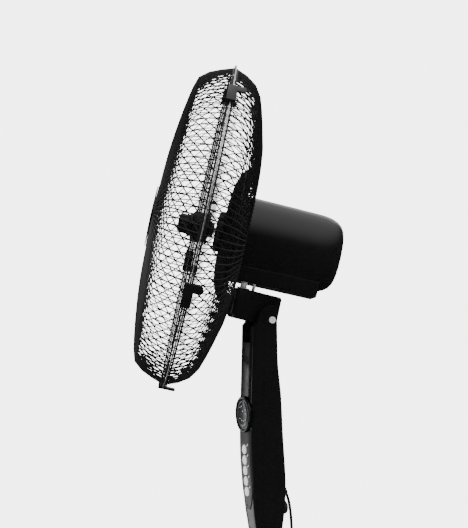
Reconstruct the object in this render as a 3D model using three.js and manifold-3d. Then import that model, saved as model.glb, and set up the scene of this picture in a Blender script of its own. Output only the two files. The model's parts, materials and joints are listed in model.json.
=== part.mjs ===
// A 16 inch pedestal fan, in millimetres, +Z up, standing on the floor plane z = 0.
// The control column faces -Y. The head is tilted up and swung to its right at rest.
import * as THREE from 'three';
import { mergeVertices } from 'three/addons/utils/BufferGeometryUtils.js';
import Module from 'manifold-3d';

const wasm = await Module();
wasm.setup();

// ---- Driving dimensions -------------------------------------------------------------
const GAP = 0.3; // clearance between pieces that touch or turn in each other
const WALL = 2.4; // moulded shell wall

// Base and poles
const BASE_RADIUS = 190;
const FOOT_HEIGHT = 3;
const FOOT_RADIUS = 11;
const FOOT_COUNT = 5;
const PAN_HEIGHT = 7;
const COVER_EDGE_TOP = 16;
const COVER_CREST = 36;
const SOCKET_RADIUS = 24;
const SOCKET_HEIGHT = 52;
const OUTER_POLE_RADIUS = 13;
const INNER_POLE_RADIUS = 10;
const POLE_WALL = 1.5;
const POLE_SHOWING = 59; // inner pole between the outer pole and the column at the lowest setting
const INNER_POLE_REACH = 230; // length of inner pole inside the outer one at the lowest setting
const NUT_RADIUS = 20;
const NUT_HEIGHT = 36;

// Control column: heights are measured down from the tilt bolt
const BOLT_HEIGHT = 784; // floor to tilt bolt at the lowest setting
const COLUMN_LENGTH = 285;
const COLUMN_HALF_WIDTH = 22;
const COLUMN_FOOT_HALF_WIDTH = 18.5;
const COLUMN_SEAM = -12; // where the front and rear shells meet
const EAR_RADIUS = 20;
const EAR_REAR = 9;
const SLOT_DEPTH = 31; // bolt to the floor of the slot between the ears
const POLE_IN_COLUMN = 95;
const DISPLAY_DROP = 128;
const DISPLAY_RADIUS = 24.5;
const LENS_RADIUS = 20;
const BEZEL_STAND_OFF = 1.1;
const BEZEL_PROUD = 2.7;
const PANEL_TOP_DROP = 150;
const PANEL_TIP_DROP = 257;
const PANEL_HALF_WIDTH = 18.5;
const PANEL_PROUD = 0.6;
const BUTTON_COUNT = 5;
const BUTTON_RADIUS = 6.4;
const BUTTON_PITCH = 14.3;
const FIRST_BUTTON_DROP = 175.5;
const BUTTON_PROUD = 1.6;
const KNOB_DROP = 258;
const KNOB_RADIUS = 9;
const KNOB_DEPTH = 9;
const SCREW_DROPS = [70, 150];
const GLAND_START = new THREE.Vector3(0, 17.5, -218);
const GLAND_END = new THREE.Vector3(0, 31.2, -239);

// Tilt box and swivel
const TILT_AT_REST = THREE.MathUtils.degToRad(13.5);
const SWING_AT_REST = THREE.MathUtils.degToRad(-19);
const SWING_LIMIT = THREE.MathUtils.degToRad(40); // each way from straight ahead
const BOX_HALF_WIDTH = 13;
const BOX_FRONT = -53;
const BOX_REAR = 12;
const BOX_BOTTOM = -8;
const BOX_TOP = 32.5;
const BOLT_RADIUS = 3.6;
const BOLT_HEAD_RADIUS = 4.6;
const SWIVEL_REACH = 42; // bolt to swivel axis, forwards
const PIN_REACH = 15; // swivel axis to the fixed link pin, rearwards
const NECK = 8; // gap between tilt box and motor tray
const SWIVEL_RADIUS = 4.5;
const PIN_RADIUS = 2.2;

// Motor head: depths are measured rearwards from the plane of the guard ring
const SWIVEL_DEPTH = 76;
const MOTOR_RADIUS = 55;
const MOTOR_TAPER = 3;
const MOTOR_FRONT = 38.5;
const MOTOR_BACK = 194;
const COVER_THICKNESS = 6;
const TRAY_DROP = 6; // tray floor below the round of the motor
const TRAY_DEPTH = 21;
const TRAY_BACK = 172;
const TRAY_HALF_FLOOR = 31;
const STATOR_RADIUS = 42;
const ROTOR_RADIUS = 24;
const SHAFT_RADIUS = 4;
const SHAFT_FRONT = -24;
const LINK_LENGTH = 46;
const CRANK_RADIUS = 9.6;
const CRANK_RATIO = 2.25; // crank turn for each turn of the head

// Guards, ring and blade
const RING_THICKNESS = 2;
const RIM_RADIUS = 216.3; // centre line of the rim wires
const RING_OVERHANG = 5.2; // silver band outside the rim wires
const RING_WIDTH = 8;
const RIM_WIRE = 1.3;
const WIRE = 1.15;
const WIRE_COUNT = 12;
const FRONT_TWIST = THREE.MathUtils.degToRad(50);
const REAR_TWIST = THREE.MathUtils.degToRad(36);
const BADGE_RADIUS = 42;
const PLATE_RADIUS = 40;
const PLATE_DEPTH = 35;
const GUARD_NUT_RADIUS = 27.5;
const BOSS_RADIUS = 12;
const CLIP_COUNT = 5;
const CLIP_FIRST = 46;
const CLIP_LENGTH = 32;
const BLADE_CLEARANCE = 28.3; // blade tips inside the rim wires
const BLADE_COUNT = 5;
const BLADE_THICKNESS = 2.2;
const HUB_RADIUS = 20;
const HUB_FRONT = -10;
const HUB_BACK = 20;

// Cord
const CORD_RADIUS = 2.1;
const COIL_MEAN_RADIUS = 23;
const COIL_CENTRE = [25.3, 256];
const COIL_BOTTOM_TURNS = 4;
const PLUG_CENTRE = [86.6, 256.5];
const PLUG_LENGTH = 34;
const PIN_SPREAD = 9.5;

// ---- Sizes that follow from those above -----------------------------------------------
const COLUMN_FOOT = BOLT_HEIGHT - COLUMN_LENGTH;
const OUTER_POLE_TOP = COLUMN_FOOT - POLE_SHOWING;
const INNER_POLE_TOP = COLUMN_FOOT + POLE_IN_COLUMN;
const MOTOR_REAR_RADIUS = MOTOR_RADIUS - MOTOR_TAPER;
const TRAY_FLOOR = -MOTOR_RADIUS - TRAY_DROP;
const TRAY_SEAM = TRAY_FLOOR + TRAY_DEPTH;
const AXIS_HEIGHT = BOX_TOP + NECK - TRAY_FLOOR;
const RING_RADIUS = RIM_RADIUS + RING_OVERHANG;
const RING_INNER = RING_RADIUS - RING_WIDTH;
const BLADE_RADIUS = RIM_RADIUS - BLADE_CLEARANCE;

// ---- Finishes -----------------------------------------------------------------------
const finish = (color, roughness, metalness = 0) =>
  new THREE.MeshStandardMaterial({ color, roughness, metalness });
const GLOSS_BLACK = finish(0x0b0b0c, 0.15);
const SATIN_BLACK = finish(0x141415, 0.5);
const RUBBER_BLACK = finish(0x1b1b1b, 0.8);
const PANEL_GREY = finish(0x2a2a2c, 0.3);
const LENS_GREY = finish(0x3a3a3d, 0.2);
const SILVER = finish(0xd5d6d8, 0.3, 0.8);
const BRIGHT_STEEL = finish(0xb9bbbe, 0.25, 1);
const IRON = finish(0x55575a, 0.5, 0.9);
const BOARD_GREEN = finish(0x1f5a38, 0.6);
const SMOKE = finish(0x38383b, 0.2);

// ---- Solid helpers ------------------------------------------------------------------
function solid(geometry) {
  const bare = geometry.index ? geometry.toNonIndexed() : geometry.clone();
  bare.deleteAttribute('normal');
  bare.deleteAttribute('uv');
  const merged = mergeVertices(bare, 1e-4);
  const triVerts = new Uint32Array(merged.index.array);
  const vertProperties = new Float32Array(merged.attributes.position.array);
  let volume = 0;
  const corner = (i) => new THREE.Vector3().fromArray(vertProperties, 3 * triVerts[i]);
  for (let i = 0; i < triVerts.length; i += 3) {
    volume += corner(i).dot(corner(i + 1).cross(corner(i + 2)));
  }
  if (volume < 0) {
    for (let i = 0; i < triVerts.length; i += 3) {
      [triVerts[i], triVerts[i + 1]] = [triVerts[i + 1], triVerts[i]];
    }
  }
  return new wasm.Manifold(new wasm.Mesh({ numProp: 3, vertProperties, triVerts }));
}

function geometryOf(manifold) {
  const mesh = manifold.getMesh();
  const geometry = new THREE.BufferGeometry();
  geometry.setAttribute('position', new THREE.BufferAttribute(new Float32Array(mesh.vertProperties), 3));
  geometry.setIndex(new THREE.BufferAttribute(new Uint32Array(mesh.triVerts), 1));
  geometry.computeVertexNormals();
  return geometry;
}

function piece(name, manifold, material) {
  const mesh = new THREE.Mesh(geometryOf(manifold), material);
  mesh.name = name;
  return mesh;
}

const points2 = (pairs) => pairs.map(([x, y]) => new THREE.Vector2(x, y));

// A closed profile of [radius, height] turned about Y; aboutZ stands it up.
function turned(profile, segments = 32) {
  return solid(new THREE.LatheGeometry(points2([...profile, profile[0]]), segments));
}

function aboutZ(profile, segments = 32) {
  const geometry = new THREE.LatheGeometry(points2([...profile, profile[0]]), segments);
  return solid(geometry.rotateX(Math.PI / 2));
}

function tubeProfile(inner, outer, low, high) {
  return [[inner, low], [outer, low], [outer, high], [inner, high]];
}

function rodProfile(radius, low, high) {
  return [[0, low], [radius, low], [radius, high], [0, high]];
}

function block(x, y, z) {
  const geometry = new THREE.BoxGeometry(x[1] - x[0], y[1] - y[0], z[1] - z[0]);
  geometry.translate((x[0] + x[1]) / 2, (y[0] + y[1]) / 2, (z[0] + z[1]) / 2);
  return solid(geometry);
}

function prism(shape, low, high, curveSegments = 10) {
  const settings = { depth: high - low, bevelEnabled: false, curveSegments };
  const geometry = new THREE.ExtrudeGeometry(shape, settings);
  return geometry.translate(0, 0, low);
}

// A shape drawn in (y, z) and extruded along X, or drawn in (x, z) and extruded along Y.
function alongX(shape, low, high, curveSegments) {
  return solid(prism(shape, low, high, curveSegments).applyMatrix4(new THREE.Matrix4().makeBasis(
    new THREE.Vector3(0, 1, 0), new THREE.Vector3(0, 0, 1), new THREE.Vector3(1, 0, 0))));
}

function alongY(shape, low, high, curveSegments) {
  const geometry = prism(shape, -high, -low, curveSegments);
  return solid(geometry.rotateX(Math.PI / 2));
}

function alongZ(shape, low, high, curveSegments) {
  return solid(prism(shape, low, high, curveSegments));
}

function roundedRectangle(left, bottom, right, top, radius) {
  const shape = new THREE.Shape();
  shape.moveTo(left + radius, bottom);
  shape.lineTo(right - radius, bottom);
  shape.absarc(right - radius, bottom + radius, radius, -Math.PI / 2, 0);
  shape.lineTo(right, top - radius);
  shape.absarc(right - radius, top - radius, radius, 0, Math.PI / 2);
  shape.lineTo(left + radius, top);
  shape.absarc(left + radius, top - radius, radius, Math.PI / 2, Math.PI);
  shape.lineTo(left, bottom + radius);
  shape.absarc(left + radius, bottom + radius, radius, Math.PI, 1.5 * Math.PI);
  return shape;
}

function circle(x, y, radius) {
  const shape = new THREE.Shape();
  shape.absarc(x, y, radius, 0, 2 * Math.PI);
  return shape;
}

function polygon(sides, radius) {
  const corners = [];
  for (let i = 0; i < sides; i += 1) {
    const angle = (2 * Math.PI * (i + 0.5)) / sides;
    corners.push(new THREE.Vector2(radius * Math.cos(angle), radius * Math.sin(angle)));
  }
  return new THREE.Shape(corners);
}

// A rod of the given section along a curve.
function swept(curve, radius, sides, steps) {
  return solid(new THREE.ExtrudeGeometry(polygon(sides, radius), { extrudePath: curve, steps }));
}

function union(parts) {
  return parts.reduce((whole, part) => whole.add(part));
}

// Value at height z from [z, value] stations listed downwards, joined by straight lines.
function atHeight(stations, z) {
  if (z >= stations[0][0]) return stations[0][1];
  for (let i = 1; i < stations.length; i += 1) {
    const [high, upper] = stations[i - 1];
    const [low, lower] = stations[i];
    if (z >= low) return THREE.MathUtils.lerp(lower, upper, (z - low) / (high - low));
  }
  return stations[stations.length - 1][1];
}

// ---- Stand: feet, pan, cover, socket and outer pole ---------------------------------
const PAN_TOP = FOOT_HEIGHT + PAN_HEIGHT;
const poleBottom = PAN_TOP + GAP;

function basePan() {
  return aboutZ([
    [0, FOOT_HEIGHT], [BASE_RADIUS - 6, FOOT_HEIGHT], [BASE_RADIUS - 6, PAN_TOP], [0, PAN_TOP],
  ], 40);
}

function baseCover() {
  const bore = OUTER_POLE_RADIUS + GAP;
  const outer = [
    [BASE_RADIUS, FOOT_HEIGHT + 1], [BASE_RADIUS, COVER_EDGE_TOP - 5],
    [BASE_RADIUS - 6, COVER_EDGE_TOP], [BASE_RADIUS * 0.74, COVER_EDGE_TOP + 10],
    [BASE_RADIUS * 0.45, COVER_CREST - 5], [SOCKET_RADIUS + 12, COVER_CREST], [bore, COVER_CREST],
  ];
  const inner = [
    [bore, COVER_CREST - WALL], [SOCKET_RADIUS + 12, COVER_CREST - WALL],
    [BASE_RADIUS * 0.45, COVER_CREST - 5 - WALL], [BASE_RADIUS * 0.74, COVER_EDGE_TOP + 10 - WALL],
    [BASE_RADIUS - 8, COVER_EDGE_TOP - WALL - 1], [BASE_RADIUS - 4, PAN_TOP + GAP],
    [BASE_RADIUS - 4, FOOT_HEIGHT + 1],
  ];
  return aboutZ([...outer, ...inner], 32);
}

function poleSocket() {
  const bore = OUTER_POLE_RADIUS + GAP;
  const foot = COVER_CREST + GAP;
  return aboutZ([
    [bore, foot], [SOCKET_RADIUS + 6, foot], [SOCKET_RADIUS + 4, foot + 4], [SOCKET_RADIUS - 4, foot + 10],
    [OUTER_POLE_RADIUS + 4, foot + SOCKET_HEIGHT - 3], [OUTER_POLE_RADIUS + 2.5, foot + SOCKET_HEIGHT],
    [bore, foot + SOCKET_HEIGHT],
  ], 24);
}

function foot(x, y) {
  const pad = aboutZ([[0, 0], [FOOT_RADIUS - 1, 0], [FOOT_RADIUS, 1],
    [FOOT_RADIUS, FOOT_HEIGHT - GAP], [0, FOOT_HEIGHT - GAP]], 14);
  return pad.translate([x, y, 0]);
}

// ---- Height lock and inner pole -----------------------------------------------------
function heightLockNut() {
  const low = OUTER_POLE_TOP - NUT_HEIGHT + 14;
  const lowBore = OUTER_POLE_RADIUS + GAP;
  const highBore = INNER_POLE_RADIUS + GAP;
  const body = aboutZ([
    [lowBore, low], [NUT_RADIUS - 4, low], [NUT_RADIUS, low + 6], [NUT_RADIUS, low + NUT_HEIGHT - 8],
    [NUT_RADIUS - 5, low + NUT_HEIGHT], [highBore, low + NUT_HEIGHT], [highBore, OUTER_POLE_TOP + GAP],
    [lowBore, OUTER_POLE_TOP + GAP],
  ], 24);
  const flutes = [];
  for (let i = 0; i < 4; i += 1) {
    const angle = (i * Math.PI) / 2;
    flutes.push(alongZ(circle((NUT_RADIUS + 4) * Math.cos(angle), (NUT_RADIUS + 4) * Math.sin(angle), 6),
      low - 1, low + NUT_HEIGHT + 1, 4));
  }
  return body.subtract(union(flutes));
}

// ---- Control column -----------------------------------------------------------------
// Front and rear faces of the column in a side view, as [height from the bolt, y].
const FRONT_FACE = [[0, -28], [-49, -29], [-102, -30.5], [-150, -31], [-182, -30.5], [-206, -29],
  [-235, -26.5], [-262, -23.5], [-285, -20]];
const REAR_FACE = [[0, 9], [-60, 10.5], [-102, 15], [-156, 18], [-215, 22], [-240, 22], [-265, 20.5],
  [-285, 18.5]];
const HALF_WIDTHS = [[0, COLUMN_HALF_WIDTH], [-200, COLUMN_HALF_WIDTH], [-250, COLUMN_HALF_WIDTH - 1],
  [-285, COLUMN_FOOT_HALF_WIDTH]];
const DESIGN_LENGTH = 285;

function stretched(stations, z) {
  return atHeight(stations, z * (DESIGN_LENGTH / COLUMN_LENGTH));
}

// Half of the plan section: x in half widths, v from 0 at the front face to 1 at the rear.
const PLAN_HALF = [[0, 0], [0.74, 0.015], [0.88, 0.06], [0.95, 0.14], [1, 0.3], [1, 0.86], [0.95, 0.96],
  [0.86, 1]];

function columnSolid(inset, low, high) {
  const right = PLAN_HALF;
  const left = right.slice(1).reverse().map(([x, v]) => [-x, v]);
  const plan = new THREE.Shape(points2([...right, ...left]));
  const steps = 10;
  const geometry = new THREE.ExtrudeGeometry(plan, { depth: high - low, steps, bevelEnabled: false });
  const position = geometry.attributes.position;
  for (let i = 0; i < position.count; i += 1) {
    const z = low + position.getZ(i);
    const x = position.getX(i) * (stretched(HALF_WIDTHS, z) - inset);
    const front = stretched(FRONT_FACE, z) + inset;
    const rear = stretched(REAR_FACE, z) - inset;
    position.setXYZ(i, x, THREE.MathUtils.lerp(front, rear, position.getY(i)), z);
  }
  return solid(geometry);
}

function panelOutline(grow) {
  const top = -PANEL_TOP_DROP + grow;
  const half = PANEL_HALF_WIDTH + grow;
  const tip = -PANEL_TIP_DROP - grow;
  const shape = new THREE.Shape();
  shape.moveTo(-half, top);
  shape.lineTo(-half, -PANEL_TIP_DROP + 48);
  shape.quadraticCurveTo(-half, -PANEL_TIP_DROP + 16, -4, tip);
  shape.lineTo(4, tip);
  shape.quadraticCurveTo(half, -PANEL_TIP_DROP + 16, half, -PANEL_TIP_DROP + 48);
  shape.lineTo(half, top);
  return shape;
}

const buttonDrop = (index) => FIRST_BUTTON_DROP + index * BUTTON_PITCH;
const faceAt = (drop) => stretched(FRONT_FACE, -drop);

// Both shells together, before they are parted at the seam.
function columnBody() {
  const top = EAR_RADIUS + 1;
  const whole = columnSolid(0, -COLUMN_LENGTH, top);
  const side = new THREE.Shape();
  side.moveTo(-60, -COLUMN_LENGTH - 1);
  side.lineTo(60, -COLUMN_LENGTH - 1);
  side.lineTo(60, -2);
  side.lineTo(EAR_REAR, -2);
  side.lineTo(EAR_REAR, 12);
  side.absarc(0, 0, EAR_RADIUS, Math.atan2(17.9, EAR_REAR), Math.PI - 0.25);
  side.lineTo(-26, -8);
  side.lineTo(-60, -8);
  const trimmed = whole.intersect(alongX(side, -60, 60));
  const slotHalf = BOX_HALF_WIDTH + 0.5;
  const slot = block([-slotHalf, slotHalf], [-60, 60], [-SLOT_DEPTH, top + 1]);
  const cavity = columnSolid(WALL, -COLUMN_LENGTH + 2 * WALL, -SLOT_DEPTH - 2 * WALL);
  const boreTop = -COLUMN_LENGTH + 3 * WALL;
  const poleBore = aboutZ(rodProfile(INNER_POLE_RADIUS + GAP, -COLUMN_LENGTH - 1, boreTop), 32);
  const boltBore = alongX(circle(0, 0, BOLT_RADIUS + GAP), -60, 60, 10);
  return trimmed.subtract(union([slot, cavity, poleBore, boltBore]));
}

function columnFront(body) {
  const half = block([-60, 60], [-60, COLUMN_SEAM - GAP / 2], [-COLUMN_LENGTH - 2, 40]);
  const display = alongY(circle(0, -DISPLAY_DROP, LENS_RADIUS - 4), -60, -18, 16);
  const panel = alongY(panelOutline(GAP), -60, COLUMN_SEAM - 4, 4);
  return body.intersect(half).subtract(display).subtract(panel);
}

function columnRear(body) {
  const half = block([-60, 60], [COLUMN_SEAM + GAP / 2, 60], [-COLUMN_LENGTH - 2, 40]);
  const glandBore = glandSolid(GAP);
  const knobBore = alongY(circle(0, -KNOB_DROP, 3 + GAP), 10, 40, 8);
  const screws = SCREW_DROPS.map((drop) => alongY(circle(0, -drop, 2.5 + GAP), 0, 40, 6));
  return body.intersect(half).subtract(glandBore).subtract(knobBore).subtract(union(screws));
}

// The insert follows the curved front of the column and fills the panel opening.
function panelInsert() {
  const outer = columnSolid(-PANEL_PROUD, -COLUMN_LENGTH, -100);
  const inner = columnSolid(WALL, -COLUMN_LENGTH - 1, -99);
  const slab = outer.subtract(inner).intersect(alongY(panelOutline(0), -60, COLUMN_SEAM - 4, 4));
  const holes = [];
  for (let i = 0; i < BUTTON_COUNT; i += 1) {
    holes.push(alongY(circle(0, -buttonDrop(i), BUTTON_RADIUS + GAP), -60, 0, 8));
  }
  return slab.subtract(union(holes));
}

function displayBezel() {
  const back = faceAt(DISPLAY_DROP) - BEZEL_STAND_OFF;
  const front = back - BEZEL_PROUD;
  const ring = turned([
    [LENS_RADIUS + GAP, back], [DISPLAY_RADIUS, back], [DISPLAY_RADIUS, front + 1.6],
    [DISPLAY_RADIUS - 1.6, front], [LENS_RADIUS + 1.4, front], [LENS_RADIUS + GAP, front + 1.2],
  ], 32);
  return ring.translate([0, 0, -DISPLAY_DROP]);
}

function displayLens() {
  const back = faceAt(DISPLAY_DROP) - BEZEL_STAND_OFF;
  const lens = turned([[0, back], [LENS_RADIUS, back], [LENS_RADIUS, back - BEZEL_PROUD + 1.6],
    [LENS_RADIUS * 0.6, back - BEZEL_PROUD + 1], [0, back - BEZEL_PROUD + 0.8]], 28);
  return lens.translate([0, 0, -DISPLAY_DROP]);
}

function controlBoard() {
  const front = COLUMN_SEAM - 1;
  const low = -buttonDrop(BUTTON_COUNT - 1) - 8;
  return block([-12, 12], [front, front + 1.6], [low, -DISPLAY_DROP + 16]);
}

function button(index) {
  const face = faceAt(buttonDrop(index)) - BUTTON_PROUD;
  const cap = turned([[0, face + 6.5], [BUTTON_RADIUS, face + 6.5], [BUTTON_RADIUS, face + 1],
    [BUTTON_RADIUS - 1.2, face], [0, face]], 18);
  return cap.translate([0, 0, -buttonDrop(index)]);
}

function clampKnob() {
  const face = stretched(REAR_FACE, -KNOB_DROP) + 1;
  const disc = turned([[0, face], [KNOB_RADIUS, face], [KNOB_RADIUS, face + KNOB_DEPTH - 2],
    [KNOB_RADIUS - 1.5, face + KNOB_DEPTH], [0, face + KNOB_DEPTH]], 18);
  const stem = turned(rodProfile(3, INNER_POLE_RADIUS + GAP, face + 1), 12);
  return union([disc, stem]).translate([0, 0, -KNOB_DROP]);
}

function shellScrew(drop) {
  const face = stretched(REAR_FACE, -drop);
  return turned(rodProfile(2.5, face - 9, face - 0.4), 12).translate([0, 0, -drop]);
}

// Cord gland: a tapered sleeve that leaves the rear shell sloping down.
function glandSolid(grow) {
  const axis = new THREE.Vector3().subVectors(GLAND_END, GLAND_START);
  const length = axis.length();
  const profile = [[0, 0], [5 + grow, 0], [4.6 + grow, length * 0.5], [CORD_RADIUS + 0.9 + grow, length],
    [0, length]];
  const geometry = new THREE.LatheGeometry(points2([...profile, profile[0]]), 20);
  const turn = new THREE.Quaternion().setFromUnitVectors(new THREE.Vector3(0, 1, 0), axis.normalize());
  geometry.applyQuaternion(turn);
  geometry.translate(GLAND_START.x, GLAND_START.y, GLAND_START.z);
  return solid(geometry);
}

// ---- Tilt box and swivel ------------------------------------------------------------
function tiltBox() {
  const side = new THREE.Shape();
  side.moveTo(BOX_FRONT + 4, BOX_BOTTOM);
  side.lineTo(BOX_REAR - 6, BOX_BOTTOM);
  side.quadraticCurveTo(BOX_REAR, BOX_BOTTOM, BOX_REAR, BOX_BOTTOM + 7);
  side.lineTo(BOX_REAR, BOX_TOP - 4);
  side.quadraticCurveTo(BOX_REAR, BOX_TOP, BOX_REAR - 4, BOX_TOP);
  side.lineTo(BOX_FRONT + 3, BOX_TOP);
  side.lineTo(BOX_FRONT, BOX_TOP - 3);
  side.lineTo(BOX_FRONT, BOX_BOTTOM + 4);
  const body = alongX(side, -BOX_HALF_WIDTH, BOX_HALF_WIDTH, 5);
  return body.subtract(alongX(circle(0, 0, BOLT_RADIUS + GAP), -60, 60, 10));
}

function pivotBolt() {
  const head = COLUMN_HALF_WIDTH + GAP;
  const shank = turned(rodProfile(BOLT_RADIUS, -COLUMN_HALF_WIDTH - 5, head + 0.5), 24);
  const cap = turned([[0, head], [BOLT_HEAD_RADIUS, head], [BOLT_HEAD_RADIUS, head + 1.2],
    [BOLT_HEAD_RADIUS - 1, head + 2.2], [0, head + 2.2]], 24);
  const recess = turned([[0, head + 1.2], [1.6, head + 1.2], [1.9, head + 3], [0, head + 3]], 6);
  return shank.add(cap).subtract(recess).rotate([0, 0, -90]);
}

function pivotNut() {
  const bore = BOLT_RADIUS + GAP;
  const shape = polygon(6, 7.4);
  shape.holes.push(circle(0, 0, bore));
  return alongX(shape, -COLUMN_HALF_WIDTH - 4.5, -COLUMN_HALF_WIDTH - GAP, 10);
}

const TRAY_FLOOR_IN_TILT = AXIS_HEIGHT + TRAY_FLOOR;
const SEAT = BOX_TOP + GAP;

function swivelPost() {
  const above = TRAY_FLOOR_IN_TILT + WALL + GAP;
  return aboutZ([[0, SEAT], [9, SEAT], [9, SEAT + 1.4], [SWIVEL_RADIUS, SEAT + 1.4], [SWIVEL_RADIUS, above],
    [8, above], [8, above + 1.8], [0, above + 1.8]], 20).translate([0, -SWIVEL_REACH, 0]);
}

const LINK_LOW = TRAY_FLOOR_IN_TILT + WALL + 4;
const LINK_HIGH = LINK_LOW + 2.2;

function linkPin() {
  return aboutZ(rodProfile(PIN_RADIUS, SEAT, LINK_HIGH + 0.8), 16)
    .translate([0, PIN_REACH - SWIVEL_REACH, 0]);
}

// The link lies along the head's axis: its eye turns on the fixed pin.
function crankLink() {
  const bar = new THREE.Shape();
  bar.absarc(0, 0, 5, Math.PI, 2 * Math.PI);
  bar.lineTo(3.2, LINK_LENGTH);
  bar.absarc(0, LINK_LENGTH, 3.2, 0, Math.PI);
  bar.holes.push(circle(0, 0, PIN_RADIUS + GAP));
  return alongZ(bar, LINK_LOW, LINK_HIGH, 6);
}

// ---- Motor --------------------------------------------------------------------------
function motorHousing() {
  const front = MOTOR_FRONT + COVER_THICKNESS + GAP;
  const shell = turned([
    [MOTOR_RADIUS, front], [MOTOR_REAR_RADIUS + 0.8, MOTOR_BACK - 36],
    [MOTOR_REAR_RADIUS - 1, MOTOR_BACK - 20],
    [MOTOR_REAR_RADIUS - 7, MOTOR_BACK - 8], [MOTOR_REAR_RADIUS - 17, MOTOR_BACK - 1.5], [14, MOTOR_BACK],
    [0, MOTOR_BACK], [0, MOTOR_BACK - WALL], [14, MOTOR_BACK - WALL],
    [MOTOR_REAR_RADIUS - 18, MOTOR_BACK - 1.5 - WALL],
    [MOTOR_REAR_RADIUS - 9, MOTOR_BACK - 10], [MOTOR_REAR_RADIUS - 3.4, MOTOR_BACK - 21],
    [MOTOR_REAR_RADIUS + 0.8 - WALL, MOTOR_BACK - 36], [MOTOR_RADIUS - WALL, front],
  ], 32);
  const below = block([-80, 80], [0, TRAY_BACK + GAP], [-80, TRAY_SEAM + GAP]);
  return shell.subtract(below);
}

function motorFrontCover() {
  const back = MOTOR_FRONT + COVER_THICKNESS;
  const bore = SHAFT_RADIUS + GAP;
  const bossFront = PLATE_DEPTH - 12.5;
  return turned([
    [bore, bossFront], [BOSS_RADIUS, bossFront], [BOSS_RADIUS, MOTOR_FRONT], [MOTOR_RADIUS - 3, MOTOR_FRONT],
    [MOTOR_RADIUS, MOTOR_FRONT + 2.5], [MOTOR_RADIUS, back], [bore, back],
  ], 32);
}

function trayOutline(inset) {
  const roof = TRAY_SEAM;
  const half = Math.sqrt(MOTOR_RADIUS ** 2 - TRAY_SEAM ** 2) - 2 - inset;
  const floor = TRAY_FLOOR + inset;
  const flat = TRAY_HALF_FLOOR - inset;
  return new THREE.Shape(points2([[-flat + 3, floor], [flat - 3, floor], [flat, floor + 2], [half, roof - 5],
    [half, roof + 2 * inset], [-half, roof + 2 * inset], [-half, roof - 5], [-flat, floor + 2]]));
}

function motorTray() {
  const front = MOTOR_FRONT + COVER_THICKNESS + GAP;
  const outer = alongY(trayOutline(0), front, TRAY_BACK);
  const inner = alongY(trayOutline(WALL), front + WALL, TRAY_BACK - WALL);
  const swivelBore = aboutZ(rodProfile(SWIVEL_RADIUS + GAP, -80, 0), 24).translate([0, SWIVEL_DEPTH, 0]);
  const slot = new THREE.Shape();
  const half = PIN_RADIUS + 0.9;
  const reach = SWING_LIMIT + Math.asin((PIN_RADIUS + GAP) / PIN_REACH);
  slot.absarc(0, 0, PIN_REACH + half, Math.PI / 2 - reach, Math.PI / 2 + reach);
  slot.absarc(0, 0, PIN_REACH - half, Math.PI / 2 + reach, Math.PI / 2 - reach, true);
  const pinSlot = alongZ(slot, -80, TRAY_SEAM).translate([0, SWIVEL_DEPTH, 0]);
  return outer.subtract(inner).subtract(swivelBore).subtract(pinSlot);
}

const STATOR_FRONT = MOTOR_FRONT + COVER_THICKNESS + 8;
const STATOR_BACK = STATOR_FRONT + 52;

function stator() {
  return turned(tubeProfile(ROTOR_RADIUS + 0.6, STATOR_RADIUS, STATOR_FRONT, STATOR_BACK), 24);
}

function rotorShaft() {
  return turned([[0, SHAFT_FRONT], [SHAFT_RADIUS, SHAFT_FRONT], [SHAFT_RADIUS, STATOR_FRONT],
    [ROTOR_RADIUS, STATOR_FRONT], [ROTOR_RADIUS, STATOR_BACK], [SHAFT_RADIUS, STATOR_BACK],
    [SHAFT_RADIUS, STATOR_BACK + 8], [0, STATOR_BACK + 8]], 20);
}

const LINK_TOP_IN_HEAD = LINK_HIGH - AXIS_HEIGHT;
const CRANK_FLOOR = LINK_TOP_IN_HEAD + 3.2;
const CRANK_DEPTH = SWIVEL_DEPTH + PIN_REACH + LINK_LENGTH;

function gearbox() {
  const low = CRANK_FLOOR + 2.6 + GAP;
  return block([-17, 17], [CRANK_DEPTH - 19, CRANK_DEPTH + 20], [low, low + 24]);
}

function crankDisc() {
  const disc = aboutZ(rodProfile(CRANK_RADIUS + 3, CRANK_FLOOR, CRANK_FLOOR + 2.6), 28);
  const pin = aboutZ(rodProfile(2, LINK_TOP_IN_HEAD + GAP, CRANK_FLOOR + 0.5), 14);
  const angle = SWING_AT_REST * CRANK_RATIO;
  return disc.add(pin.translate([-CRANK_RADIUS * Math.sin(angle), -CRANK_RADIUS * Math.cos(angle), 0]));
}

// ---- Guards -------------------------------------------------------------------------
// Wire profiles as [radius, depth], from the rim to the centre.
const FRONT_DOME = RIM_RADIUS - 22; // where the side of the front guard turns into its dome
const FRONT_PROFILE = [[RIM_RADIUS, -2.8], [RIM_RADIUS - 6, -20], [RIM_RADIUS - 13, -35], [FRONT_DOME, -45],
  [FRONT_DOME * 0.89, -50.5], [FRONT_DOME * 0.7, -56.5], [FRONT_DOME * 0.46, -61.5],
  [BADGE_RADIUS - 3, -63.6]];
const BOWL = RIM_RADIUS - 24; // where the side of the rear guard turns into its bowl
const REAR_PROFILE = [[RIM_RADIUS, 2.8], [RIM_RADIUS - 5, 16], [RIM_RADIUS - 12, 28], [BOWL, 38],
  [BOWL * 0.85, 48], [BOWL * 0.7, 55.5], [MOTOR_RADIUS + 60, 60], [MOTOR_RADIUS + 46, 58],
  [MOTOR_RADIUS + 33, 46], [MOTOR_RADIUS + 14, 37.5], [PLATE_RADIUS - 3, PLATE_DEPTH]];

function guardWire(profile, twist, phase, steps) {
  const total = profile.length - 1;
  const points = profile.map(([radius, depth], i) => {
    const angle = phase + (twist * i) / total;
    return new THREE.Vector3(radius * Math.cos(angle), depth, radius * Math.sin(angle));
  });
  return swept(new THREE.CatmullRomCurve3(points), WIRE, 3, steps);
}

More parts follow.
